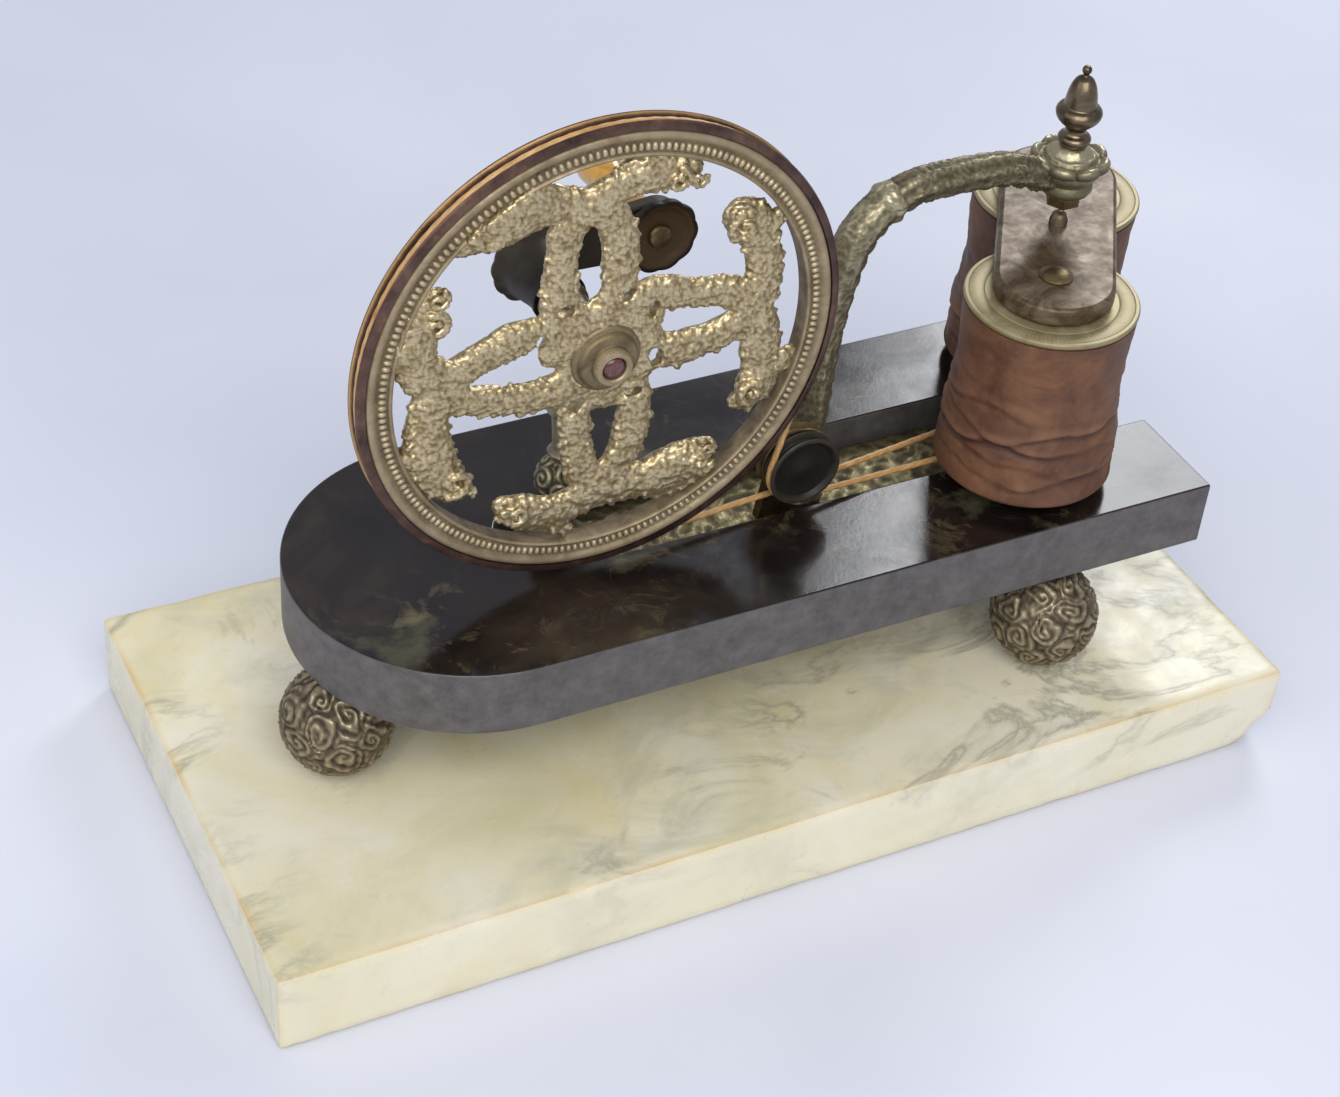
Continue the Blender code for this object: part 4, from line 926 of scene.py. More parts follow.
def make_pivot():
    """Rosette with eight raised lobes, lock nut, pointed screw and the polished acorn."""
    centre = (SPINDLE_X, MID_Y, 0)
    base = 156.7
    profile = [
        (0, 5.9), (3.2, 5.9), (4.6, 5.2), (5.6, 3.9), (6.6, 3.4), (7.0, 2.6), (7.8, 2.2), (9.0, 2.9),
        (10.1, 2.6), (10.5, 1.5), (10.0, 0.3), (8.6, 0),
    ]
    profile = [*eased(profile), (2.75, 0), (2.75, 1), (0, 1)]

    def lobes(radius, _, angle):
        return (1.1 * abs(math.cos(4 * angle)) ** 0.6 - 0.8) * max(0.0, min(1.0, (radius - 6.4) / 2.6))

    points, faces = spun(profile, (SPINDLE_X, MID_Y, base), steps=160, wave=lobes)
    out = np.hypot(points[:, 0] - SPINDLE_X, points[:, 1] - MID_Y)
    angles = np.arctan2(points[:, 1] - MID_Y, points[:, 0] - SPINDLE_X)
    tips = np.clip((out - 7.2) / 2, 0, 1) * (points[:, 2] > base + 1.6)
    lifts = tips * (0.9 * np.abs(np.cos(4 * angles)) - 0.5)
    points[:, 2] += lifts + [0.22 * lumps(point, 1.1) for point in points]
    relief = level(points[:, 2], base - 1, base + 5) + 0.35 * lifts
    make("rosette_lobed", (points, faces), "brass", "pivot_rosette", relief)
    nut = plate(arc(SPINDLE_X, MID_Y, 4.9, 0, 300, 5), 144.9, 147.9)
    make("lock_nut", nut, "turned_brass", "pivot_lock_nut", bevel=0.35)
    screw = [(0, 163.4), (2.35, 163.4), (2.35, 145.6), (1.9, 144.9), (0.5, 142.45), (0, 142.45)]
    make("pivot_point", spun(screw, centre, steps=40), "iron", "pivot_screw", bevel=0.1)
    acorn = [
        (0, 185.8), (0.8, 185.6), (1.25, 184.9), (1.2, 184.1), (0.8, 183.5), (1.0, 182.9), (2.3, 182.0),
        (3.3, 180.2), (3.95, 177.8), (4.3, 175.4), (4.5, 174.4), (5.4, 173.9), (6.1, 172.9), (6.15, 171.9),
        (5.6, 170.6), (4.3, 169.2), (3.2, 168.2), (2.8, 167.2), (3.1, 166.2), (4.1, 165.5), (4.5, 164.6),
        (4.2, 163.7), (3.7, 163.0),
    ]
    shape = spun([*eased(acorn), (2.75, 163.0), (2.75, 163.8), (0, 163.8)], centre, steps=72)
    make("finial_acorn", shape, "bronze", "acorn_finial", crease=60)


# ---- flywheel ----


def from_wheel(x, z, y=0.0):
    return (WHEEL_X + x, WHEEL_Y + y, WHEEL_Z + z)


def make_rim():
    """The grooved tread, with bright gold lines on its lips: wear and a painted highlight."""
    half, lip = 3.15, 2.0
    groove = [
        (63.4, half - 0.1), (64.2, half - 0.4), (64.45, half - 0.9), (64.3, lip), (63.3, 1.5), (62.1, 1.15),
        (61.8, 0.6),
    ]
    profile = [
        (61.9, half), *mirrored(groove), (62.2, -half), (62.2, -2.4), (60.1, -2.4), (60.1, half - 0.4),
        (60.6, half),
    ]
    shape = spun(profile, from_wheel(0, 0), "Y", steps=240)
    from_middle = np.abs(shape[0][:, 1] - WHEEL_Y)
    # The lips get the gold line of the rim look: wear and a painted highlight.
    relief = np.where(np.abs(from_middle - lip) < 0.1, 1.0, 0.2)
    make("rim_grooved", shape, "rim", "wheel_rim", relief, crease=32)


def make_bead_ring():
    """The moulded ring in front of the rim, with its row of beads."""
    front = -3.35
    profile = [
        (61.9, -2.5), (61.9, front + 0.5), (61.5, front + 0.1), (60.9, front), (60.2, front + 0.15),
        (59.7, front + 0.55), (59.3, front + 0.9), (56.4, front + 0.9), (56.2, front + 0.3),
        (55.8, front + 0.1), (55.3, front + 0.4), (55.2, front + 1.1), (55.4, 2.0), (55.9, 2.5),
        (59.4, 2.5), (59.8, 2.2), (59.8, -2.5),
    ][::-1]
    ring = spun(profile, from_wheel(0, 0), "Y", steps=240)
    shapes = [ring]
    relief = [0.25 + 0.3 * level(-ring[0][:, 1] + WHEEL_Y, 2.0, 3.6)]
    dome = [(0, 1.0), (0.42, 0.9), (0.76, 0.62), (0.96, 0.2), (1.0, -0.3), (0, -0.3)]
    beads, bead_circle = 200, 57.85
    bead, bead_faces = spun(dome, (0, 0, 0), steps=9)
    for step in range(beads):
        angle = 2 * math.pi * step / beads
        size = 0.82 + 0.06 * math.sin(7.3 * step)
        along, out = bead[:, 0] * size, bead[:, 1] * 1.3
        cos, sin = math.cos(angle), math.sin(angle)
        reach = bead_circle + out
        depth = front + 0.85 - bead[:, 2] * 0.95
        place = from_wheel(reach * cos - along * sin, reach * sin + along * cos, depth)
        shapes.append((np.column_stack(place), [face[::-1] for face in bead_faces]))
        relief.append(0.8 * level(bead[:, 2], -0.5, 1.0))
    whole = joined(*shapes)
    make("ring_beaded", whole, "beads", "wheel_spider", np.concatenate(relief), crease=50)


# Middle lines of the spider's branches, seen from the front: (right, up, half width) from the axle
BRANCHES = (
    # right spoke
    ((7, 13, 4.4), (12, 15, 4.4), (17, 14, 4.6), (24, 12.2, 4.4), (33, 10.5, 4.7), (40, 7, 5.4)),
    ((9, 0, 4.4), (15, -2.4, 4.8), (20, -3.6, 5.5), (25, -3.0, 5.1), (33, -1.5, 4.8), (40, 2, 5.4)),
    ((41, 5, 5.6), (43.4, 11, 5.2), (42.6, 18, 5.2), (41, 24, 5.6), (38, 29.5, 6.0), (34.5, 32, 4.6)),
    ((41, 4, 5.6), (43.6, -2, 5.6), (44.4, -10, 5.8), (44.6, -18, 5.7), (42.6, -23, 5.0), (39.5, -24, 3.2)),
    # top spoke
    ((-12, 11, 4.6), (-12.2, 18, 5.4), (-12.4, 25, 4.6), (-12.2, 31, 4.3), (-10.8, 38, 5.2), (-8, 43, 5.6)),
    ((2, 12, 4.6), (3.4, 19, 5.1), (3.4, 26, 5.1), (2.8, 32, 5.2), (-0.4, 39, 5.6), (-6, 43, 5.6)),
    ((-6, 43, 5.4), (0, 45.4, 5.0), (5, 48.6, 5.4), (10, 49.2, 5.6), (15, 48.4, 5.0), (20.5, 47.6, 3.0)),
    ((-7, 43, 5.4), (-13, 44.8, 5.0), (-19, 46, 6.4), (-26, 46, 9.0), (-33, 43.4, 7.8), (-38, 40, 4.6)),
    # left spoke
    ((-12, 9, 4.6), (-18, 10.6, 4.6), (-25, 9.2, 5.4), (-31, 6.8, 5.0), (-36, 4.4, 4.9), (-43, 1.5, 5.4)),
    ((-11, -7, 4.8), (-17, -8.4, 4.8), (-25, -7.6, 4.7), (-31, -6.2, 4.7), (-36, -4.4, 4.8), (-43, -1, 5.4)),
    ((-44, 2, 5.8), (-48.5, 8, 6.2), (-50, 15, 6.8), (-48.6, 21, 6.0), (-46, 25, 4.6), (-43.4, 25.5, 3.0)),
    (
        (-43, -1, 5.8), (-45.6, -8, 6.0), (-45.6, -15, 6.8),
        (-44.4, -22, 7.0), (-41, -28, 5.8), (-36.5, -30.8, 3.4),
    ),
    # bottom spoke
    ((-6, -11, 4.4), (-6.6, -18, 4.6), (-6, -25, 4.6), (-4.6, -32, 4.8), (-2.4, -38, 5.2), (-1, -42, 5.4)),
    ((9, -11, 4.6), (9.8, -18, 5.0), (9.2, -25, 5.2), (7.2, -32, 5.2), (3.4, -38, 5.4), (-1, -42, 5.4)),
    (
        (0, -42, 5.4), (-7, -44.6, 5.2), (-14, -45.2, 5.2),
        (-19, -43.8, 5.2), (-23, -41.6, 4.4), (-25.5, -39.8, 2.6),
    ),
    ((1, -42, 5.4), (8, -42.2, 5.6), (15, -42, 6.2), (21, -40.8, 6.8), (27, -39, 6.0), (31, -37, 3.6)),
)
# Crests that join the heads to the ring
CRESTS = (
    ((44, 28, 3.0), (46.5, 30, 2.4)),
    ((47, -13, 3.6), (51.5, -16, 3.0), (53, -12, 2.2)),
    ((7, 52, 3.0), (10, 54, 2.6), (14, 53, 2.4)),
    ((-22, 51, 4.0), (-28, 50, 4.6), (-35, 45.6, 4.0)),
    ((-53, 12, 3.6), (-55, 17, 3.2), (-52, 22, 3.0)),
    ((-49, -16, 3.6), (-51, -21, 3.0), (-47, -27, 2.6)),
    ((-12, -48, 3.0), (-8, -52, 2.4)),
    ((15, -45, 3.4), (22, -47, 3.0), (30, -44, 2.6)),
)
# Curled heads: (right, up, radius, start angle, hand)
CURLS = (
    (35, 29.5, 4.4, 70, 1), (33, 33.8, 2.8, 20, 1), (42, -20.5, 4.0, 250, -1), (16, 46.8, 3.2, 80, -1),
    (21.3, 46, 2.2, 10, -1), (-31, 44, 5.4, 200, 1), (-44.5, 20, 3.6, 120, -1), (-44, 27, 2.8, 60, -1),
    (-39, -27.5, 4.0, 250, 1), (-35.4, -31, 1.9, 300, 1), (-22, -42.2, 3.4, 160, 1),
    (-25.6, -41, 2.2, 200, 1), (28.6, -39.4, 3.8, 340, -1), (30.5, -35.6, 2.3, 60, -1),
)
# Small piercings between the strands: (right, up, half length, half width, lean)
PIERCINGS = (
    (12.6, 10.8, 2.5, 1.3, 75), (14.2, -3.6, 2.9, 1.8, 105), (5.2, 16.6, 2.7, 1.4, 25),
    (-16.8, 8.2, 2.2, 1.4, 95), (-11.0, 15.4, 2.3, 1.7, 0), (-7.0, -13.2, 2.6, 1.5, 40),
    (8.6, -12.6, 2.4, 1.3, 0), (24.6, 4.9, 8.0, 2.9, 0), (-5.0, 30.0, 2.9, 7.6, -2),
    (-27.0, 0.6, 8.4, 2.9, 8), (1.6, -24.0, 2.8, 8.0, 0),
)
# Lobes round the hub: (right, up)
HUB_LOBES = (
    (11, 8), (-1, 12), (-12, 4), (-10, -8.5), (1, -11.5), (10.5, -5), (5.5, 11), (-8.5, 11), (11.5, 1),
)
LEAF_PITCH = 2.8
RING_INSIDE = 56.4


def leafy_edges(clay, line, middle):
    """Leaf tips in pairs along both edges of a branch, each curling forward a little."""
    line = smooth_line(line[::2], 6)
    ahead = np.gradient(line[:, :2], axis=0)
    ahead /= np.linalg.norm(ahead, axis=1)[:, None]
    steps = np.linalg.norm(np.diff(line[:, :2], axis=0), axis=1)
    travelled, turn = 0.0, 0
    for (x, z, width), (dx, dz), step in zip(line, ahead, [0, *steps]):
        travelled += step
        if travelled < LEAF_PITCH:
            continue
        travelled = 0.0
        turn += 1
        for side in (-1, 1):
            reach = width - 0.8 + 0.5 * math.sin(2.3 * turn + side)
            across_x, across_z = -side * dz * reach, side * dx * reach
            root = from_wheel(x + 0.7 * across_x, z + 0.7 * across_z, middle - 0.3 * width)
            tip = from_wheel(x + across_x + 1.2 * dx, z + across_z + 1.2 * dz, middle - 0.5)
            clay.bar([root, tip], [0.7, 0.9 + 0.25 * math.sin(3.1 * turn)], 0.4)


def make_spider():
    """The openwork casting: four pierced spokes that part into curled heads at the ring."""
    clay = Clay((WHEEL_X - 59, WHEEL_Y - 5.2, WHEEL_Z - 56), (WHEEL_X + 58, WHEEL_Y + 3, WHEEL_Z + 58), 0.5)
    middle = -0.4
    for branch in (*BRANCHES, *CRESTS):
        line = smooth_line(branch, 4)
        places = [from_wheel(x, z, middle) for x, z, _ in line]
        widths = [width * (0.87 + 0.16 * lumps((x, 0, z), 5.5)) for x, z, width in line]
        clay.bar(places, widths, 0.9, squash=0.48)
        leafy_edges(clay, line, middle)
    for x, z in HUB_LOBES:
        lobe = [from_wheel(x * 0.4, z * 0.4, middle), from_wheel(x, z, middle)]
        clay.bar(lobe, [6.5, 5.2], 1.4, squash=0.4)
    for x, z, radius, start, hand in CURLS:
        places, radii = [], []
        for step in range(15):
            share = step / 14
            angle = math.radians(start + hand * 430 * share)
            reach = radius * (1 - 0.82 * share)
            depth = middle - 2.4 - 0.5 * share
            places.append(from_wheel(x + reach * math.cos(angle), z + reach * math.sin(angle), depth))
            radii.append(0.32 * radius * (1 - 0.3 * share))
        clay.bar(places, radii, 0.25)
    for x, z, long_half, short_half, lean in PIERCINGS:
        clay.bore(WHEEL_X + x, WHEEL_Z + z, long_half, short_half, lean)
    x, y, z = clay.grid()
    out = np.hypot(x - WHEEL_X, z - WHEEL_Z)
    clay.field = np.maximum(clay.field, out - RING_INSIDE)
    clay.field = np.maximum(clay.field, 3.2 - out)
    clay.field = np.maximum(clay.field, WHEEL_Y - 4.4 - y)

    def relief(point, normal):
        grain = pebbles(point, 1.0)
        swell = 0.3 * lumps(point, 3.4) + 0.24 * lumps(point, 1.7, 4)
        return (0.48 * grain - 0.26 + swell) * (1.0 if normal[1] < 0.5 else 0.5)

    cast = clay.shape()
    grains = np.array([pebbles(point, 1.0) for point in cast[0]])
    shape, _ = embossed(cast, relief)
    # The pebble crowns take the gilt's painted highlight, and the gaps take its patina and painted shade.
    make("spider_openwork", shape, "gilt", "wheel_spider", 0.28 + 0.5 * grains, crease=80)


def make_hub():
    """Stepped boss on a pebbled foot, milled setting and jewel in front, collar and axle behind."""
    front = WHEEL_Y - 2.7
    centre = (WHEEL_X, front, WHEEL_Z)
    boss = [
        (3.5, -4.2), (4.4, -4.1), (4.9, -3.5), (5.2, -2.7), (6.4, -2.4), (7.4, -2.1), (7.9, -1.5),
        (8.1, -0.8), (8.9, -0.5), (9.3, 0.0), (9.3, 0.4), (3.5, 0.4),
    ][::-1]
    make("hub_boss", spun(boss, centre, "Y"), "hub", "hub_cap", bevel=0.12)
    foot = [(9.0, 0.1), (10.3, 0.2), (10.8, 0.7), (3.5, 0.7), (3.5, 0.45)][::-1]
    smooth = spun(foot, centre, "Y", steps=120)
    shape, heights = embossed(smooth, lambda point, _: 0.25 * pebbles(point, 1.0) - 0.25)
    make("hub_foot", shape, "gilt", "hub_cap", level(heights, -0.4, 0.1))

    def milled(radius, height, angle):
        return 0.1 * math.cos(40 * angle) if radius > 4 and height < -3.4 else 0

    ring = [(3.2, -3.0), (3.2, -5.0), (3.6, -5.4), (4.6, -5.3), (5.0, -4.6), (5.0, -3.2), (3.6, -3.0)][::-1]
    shape = spun(ring, centre, "Y", steps=160, wave=milled)
    make("jewel_setting", shape, "beads", "hub_cap")
    jewel = [(0, -3.1), (3.05, -3.1), (3.05, -4.4), (2.6, -5.0), (1.6, -5.4), (0, -5.55)]
    make("jewel_cabochon", spun(jewel, centre, "Y", 48), "jewel", "hub_jewel")
    back, end = WHEEL_Y + 1.9, -1.3
    centre = (WHEEL_X, 0, WHEEL_Z)
    collar = [
        (5.0, end), (5.2, end - 2), (5.0, end - 2.6), (6.2, back + 3), (7.0, back + 1), (7.0, back),
        (2.85, back), (2.85, end),
    ]
    make("hub_back", spun(collar, centre, "Y"), "bronze", "hub_collar", bevel=0.2)
    rod = [(0, 36.9), (2.3, 36.9), (2.5, 36.6), (2.5, front + 0.9), (0, front + 0.9)]
    make("axle_turned", spun(rod, centre, "Y", 48), "iron", "axle")


# ---- crank ----


def petals(count, depth, start):
    def wave(radius, height, angle):
        return depth * (abs(math.cos(count / 2 * angle)) - 0.6) * max(0.0, min(1.0, (radius - start) / 2))

    return wave


def make_crank():
    """Black trumpet, arm and flower cup behind the wheel, and the horn grip on its brass pin."""
    centre = (WHEEL_X, 0, WHEEL_Z)
    boss = [
        (10.9, 30.9), (11.0, 30.0), (10.4, 29.2), (9.3, 28.2), (8.6, 26.0), (8.1, 23.4), (7.4, 20.4),
        (6.9, 17.4), (6.7, 15.6), (7.2, 14.6), (7.2, 13.0), (2.85, 13.0), (2.85, 30.9),
    ]
    shape = spun(boss, centre, "Y", 112, petals(12, 0.5, 8.5))
    relief = level(shape[0][:, 1], 8, 44)
    make("crank_trumpet", shape, "ebony", "crank_boss", relief, crease=35)

    end_x = WHEEL_X + CRANK_REACH * math.cos(CRANK_ANGLE)
    end_z = WHEEL_Z + CRANK_REACH * math.sin(CRANK_ANGLE)
    outline = [*arc(0, 0, 5.9, 90, 270, 24), *arc(CRANK_REACH, 0, 8.4, -90, 90, 28)]
    outline = [(WHEEL_X + x, WHEEL_Z + z) for x, z in turned_by(outline, CRANK_ANGLE)]
    bores = [round_bore(WHEEL_X, WHEEL_Z, 2.8), round_bore(end_x, end_z, 2.1)]
    shape = plate(outline, 31.4, 35.4, bores, upright=True)
    make("crank_lever", shape, "ebony", "crank_arm", bevel=0.8)

    end = (end_x, 0, end_z)
    cup = [
        (8.2, 30.9), (9.4, 30.2), (10.4, 29.2), (10.6, 28.2), (10.4, 27.5), (9.6, 27.3), (8.6, 27.6),
        (7.8, 28.4), (7.0, 28.9), (2.1, 29.0), (2.1, 30.9),
    ]
    shape = spun(cup, end, "Y", 112, petals(10, 0.55, 8.0))
    out = np.hypot(shape[0][:, 0] - end_x, shape[0][:, 2] - end_z)
    relief = np.where((out < 9.0) & (shape[0][:, 1] < 29.5), 0.9, 0.15)
    make("crank_flower", shape, "cup", "crank_cup", relief, crease=35)
    pin = [
        (0, 71.5), (1.7, 71.4), (2.6, 70.9), (2.6, 70.6), (1.8, 70.6), (1.8, 28.7), (3.2, 28.7),
        (3.4, 28.2), (3.0, 27.4), (1.8, 27.1), (0, 27.0),
    ]
    shape = spun(pin, end, "Y", 48)
    make("grip_pin", shape, "turned_brass", "handle_pin", bevel=0.15)
    grip = [
        (2.4, 70.4), (3.8, 70.2), (5.0, 69.6), (5.9, 68.2), (6.2, 66.0), (6.0, 63.6), (5.2, 60.6),
        (4.4, 56.6), (3.9, 51.5), (3.8, 46.0), (4.0, 42.0), (4.6, 39.4), (5.7, 38.0), (6.5, 37.3),
        (6.6, 36.6), (6.3, 36.0), (2.0, 35.9), (2.0, 70.4),
    ]
    make("grip_turned", spun(grip, end, "Y", 72), "horn", "handle_grip", crease=50)


# ---- armature ----


def coil_centre(side):
    reach = side * COIL_OFFSET
    return SPINDLE_X + reach * math.cos(COIL_ANGLE), MID_Y + reach * math.sin(COIL_ANGLE)


# Creases of a leather cover: how far down (0 to 1), depth and turn
CREASES = (
    (0.60, 1.0, 0.9), (0.70, 1.3, 2.6), (0.78, 1.15, 4.4),
    (0.86, 0.9, 0.3), (0.38, 0.45, 5.2), (0.50, 0.55, 3.1),
)


def make_winding(name, side):
    """A slack leather cover: waisted, with wandering creases, most of them in its lower half."""
    x, y = coil_centre(side)
    top, foot = COIL_TOP - 1.9, COIL_BOTTOM
    profile = []
    for step in range(91):
        share = step / 90
        radius = 23.2 - 0.9 * math.sin(math.pi * min(1, share / 0.72)) + 1.3 * share**2.4
        profile.append((radius, top + (foot + 1.0 - top) * share))
    profile = [
        (22.5, top + 0.02), *profile, (24.1, foot + 0.4), (23.0, foot + 0.1), (20.4, foot + 0.1),
        (20.4, foot + 2.0), (11.4, foot + 2.0), (11.4, top + 0.02),
    ]
    shape = spun(profile, (x, y, 0), steps=180)
    points, heights = np.array(shape[0]), []
    for number, point in enumerate(points):
        away_x, away_y = point[0] - x, point[1] - y
        radius = math.hypot(away_x, away_y)
        if radius < 22:
            heights.append(0.0)
            continue
        angle = math.atan2(away_y, away_x)
        share = (top - point[2]) / (top - foot)
        around = (math.cos(angle) * 2.2, math.sin(angle) * 2.2, share * 3.4 + side)
        height = 0.55 * noise.noise(Vector(around)) + 0.2 * lumps(point, 3.5)
        for where, depth, turn in CREASES:
            wander = where + 0.035 * math.sin(2 * angle + turn) + 0.02 * math.sin(5 * angle + 2 * turn)
            wander += 0.02 * lumps(point, 7, turn)
            live = 0.35 + 0.65 * max(0.0, math.cos(angle + turn + 0.5)) ** 0.7
            off = (share - wander) / 0.02
            bulge, fold = math.exp(-(((off + 1.5) / 1.4) ** 2)), math.exp(-(off**2))
            height += live * depth * (0.5 * bulge - 0.85 * fold)
        fade = min(1.0, max(0.0, share * 9), max(0.15, (1 - share) * 12))
        height *= fade
        heights.append(height)
        scale = (radius + height) / radius
        points[number, 0], points[number, 1] = x + away_x * scale, y + away_y * scale
    heights = np.array(heights)
    # Low relief in the creases takes painted shade in the leather look.
    relief = level(heights, -1.0, 0.8)
    make(f"leather_{name}", (points, shape[1]), f"leather_{name}", f"coil_winding_{name}", relief, crease=70)


def make_bobbin(name, side):
    """The flange with two turned rings and fine radial strokes on its top."""
    x, y = coil_centre(side)
    top, foot, steps = COIL_TOP, COIL_BOTTOM, 240
    rings = [
        (9.35, top), (17.7, top), (18.0, top - 0.14), (18.3, top), (21.8, top), (22.0, top - 0.12),
        (22.2, top), (23.0, top - 0.05), (23.35, top - 0.35), (23.4, top - 0.9), (23.1, top - 1.5),
        (11.0, top - 1.6),
    ]
    profile = [*rings, (11.0, foot + 1.6), (20.0, foot + 1.6), (20.0, foot), (9.35, foot)]
    shape = spun(profile, (x, y, 0), steps=steps)
    points = np.array(shape[0])
    out = np.hypot(points[:, 0] - x, points[:, 1] - y)
    strokes = np.arange(len(points)) % steps
    cut = ((out > 18.2) & (out < 21.9) & (points[:, 2] > top - 0.1) & (strokes % 2 == 0)).astype(float)
    points[:, 2] -= 0.08 * cut
    # The top face stays light, while the sides, underside and strokes take painted shade in the flange look.
    relief = np.where(points[:, 2] > top - 0.1, 0.62 - 0.2 * cut, 0.4)
    make(f"flange_{name}", (points, shape[1]), "flange", f"coil_bobbin_{name}", relief, crease=24)
    core = [(0, top - 0.4), (9, top - 0.4), (9, foot - 0.3), (8.6, foot - 0.75), (0, foot - 0.75)]
    make(f"core_{name}", spun(core, (x, y, 0), steps=64), "iron", f"coil_core_{name}")
    dome = ((0, 1.85), (1.6, 1.75), (3.0, 1.45), (4.0, 1.0), (4.6, 0.5), (4.6, 0.35), (2.0, 0.35))
    head = [*[(radius, YOKE_TOP + height) for radius, height in dome], (2.0, top - 6), (0, top - 6)]
    make(f"dome_screw_{name}", spun(head, (x, y, 0), steps=56), "turned_brass", f"yoke_screw_{name}")


def make_yoke():
    """The polished bar with round ends and a broad eased edge."""
    half = 16.1
    outline = [*arc(COIL_OFFSET, 0, half, -90, 90, 56), *arc(-COIL_OFFSET, 0, half, 90, 270, 56)]
    outline = [(SPINDLE_X + x, MID_Y + y) for x, y in turned_by(outline, COIL_ANGLE)]
    shape = plate(outline, COIL_TOP + 0.35, YOKE_TOP)
    make("yoke_polished", shape, "steel", "yoke_bar", bevel=1.5)


def make_spindle():
    """The thin upright, its grooved pulley, the commutator in two halves and the cup below."""
    centre = (SPINDLE_X, MID_Y, 0)
    stem = [
        (0, 142.0), (0.9, 142.0), (1.9, 141.2), (2.5, 139.4), (2.5, 138.3), (1.4, 137.9), (1.4, 79.5),
        (2.4, 78.8), (2.4, 64.8), (0.4, 61.7), (0, 61.7),
    ]
    make("spindle_turned", spun(stem, centre, steps=40), "steel", "armature_spindle")
    pulley = mirrored([(2.7, 2.8), (7.4, 2.8), (7.8, 2.4), (7.6, 2.0), (5.9, 1.0), (5.6, 0.5)])
    shape = spun(pulley, (SPINDLE_X, MID_Y, SPINDLE_GROOVE_Z))
    make("pulley_spindle", shape, "turned_brass", "spindle_pulley", crease=28)
    top = SPINDLE_GROOVE_Z - 3.1

    def split(radius, _, angle):
        return -0.5 if radius > 4 and abs(math.sin(angle)) < 0.09 else 0

    collar = [
        (4.0, top), (4.2, top - 0.3), (4.2, top - 5.2), (4.0, top - 5.5), (2.7, top - 5.5), (2.7, top),
    ]
    shape = spun(collar, centre, wave=split)
    make("commutator_split", shape, "turned_brass", "commutator_collar", crease=28)
    cup = [(0, 61.2), (1.6, 62.0), (2.3, 62.8), (3.5, 62.8), (3.8, 62.5), (3.8, 59.7), (0, 59.7)]
    make("cup_turned", spun(cup, centre, steps=48), "iron", "pivot_cup", crease=28)
    foot = 62.3
    for side, name in ((-1, "front"), (1, "rear")):
        middle = MID_Y + side * 4.9
        line = ((-12.0, 0.35), (-8.0, 0.3), (-4.0, 0.1), (0.0, 0.0), (3.4, 0.3), (4.0, 0.5))
        leaf = [*line, *[(x, lean + 0.45) for x, lean in line[::-1]]]
        pad = ((-12, 0.6), (-7, 0.6), (-7, 4.0), (-12, 4.0))
        plates = []
        for outline, height in ((leaf, 5.5), (pad, 1.9)):
            outline = [(SPINDLE_X + x, middle + side * y) for x, y in outline][::side]
            plates.append(plate(outline, foot, foot + height))
        make(f"contact_leaf_{name}", joined(*plates), "turned_brass", f"contact_spring_{name}", crease=28)


# ---- straps, guides and cord ----


def make_straps():
    """Straps and screws under the magnet."""
    top = MAGNET_BOTTOM - 0.3
    for side, x in (("left", WHEEL_X), ("right", 43.4)):
        outline = [*arc(x, MAGNET_Y + 30, 7, 0, 180, 24), *arc(x, MAGNET_Y - 30, 7, 180, 360, 24)]
        shape = plate(outline, top - 2.5, top, [round_bore(x, MID_Y, 2.4)])
        make(f"strap_{side}", shape, "turned_brass", f"clamp_strap_{side}", bevel=0.4)
        head = top - 2.9
        screw = [(0, 63.1), (2.0, 63.1), (2.0, head), (4.0, head)]
        screw += [(3.9, head - 0.9), (3.2, head - 1.9), (1.8, head - 2.2), (0, head - 2.2)]
        make(f"screw_{side}", spun(screw, (x, MID_Y, 0), steps=48), "iron", f"clamp_screw_{side}", crease=28)


def make_guides():
    """The dished black pulley in front, the brass one behind it, their pin and bracket."""
    groove = mirrored([(10.2, 1.5), (8.9, 0.9), (8.6, 0.4)])
    dish = [(10.45, -1.9), (10.1, -2.25), (9.4, -2.3), (8.9, -2.0), (8.2, -1.2), (6.0, -0.9), (3.0, -1.0)]
    front = [
        (0, -0.3), (1.69, -0.3), (1.69, 2.2), (9.9, 2.2), (10.4, 1.8), *groove, *dish, (1.4, -1.5),
        (0, -1.6),
    ]
    shape = spun(front, (GUIDE_X, GUIDE_FRONT_Y, GUIDE_Z), "Y", 120)
    out = np.hypot(shape[0][:, 0] - GUIDE_X, shape[0][:, 2] - GUIDE_Z)
    make("guide_dish", shape, "dish", "guide_pulley_front", level(out, 8, 12.5), crease=30)
    rear = mirrored([(1.69, 2.2), (9.6, 2.2), (10.3, 1.9), (10.35, 1.6), (8.9, 0.9), (8.6, 0.4)])
    shape = spun(rear, (GUIDE_X, GUIDE_REAR_Y, GUIDE_Z), "Y", 120)
    make("guide_brass", shape, "turned_brass", "guide_pulley_rear", crease=30)
    pin = [(0, 1.4), (1.2, 1.4), (1.6, 1.0), (1.6, -9.4), (0, -9.4)]
    make("guide_axle", spun(pin, (GUIDE_X, 0, GUIDE_Z), "Y", 40), "iron", "guide_pin")
    foot = 67.9
    outline = [(GUIDE_X + 2.6, foot), *arc(GUIDE_X, GUIDE_Z, 4.0, 0, 180, 24), (GUIDE_X - 7.4, foot)]
    shape = plate(outline, -2.2, 0.9, [round_bore(GUIDE_X, GUIDE_Z, 1.9)], upright=True)
    make("bracket_cast", shape, "turned_brass", "guide_bracket", bevel=0.5)


CORD_RADIUS = 0.9
CORD_STEP = 0.6
STRANDS = 3
LAY_LENGTH = 4.2


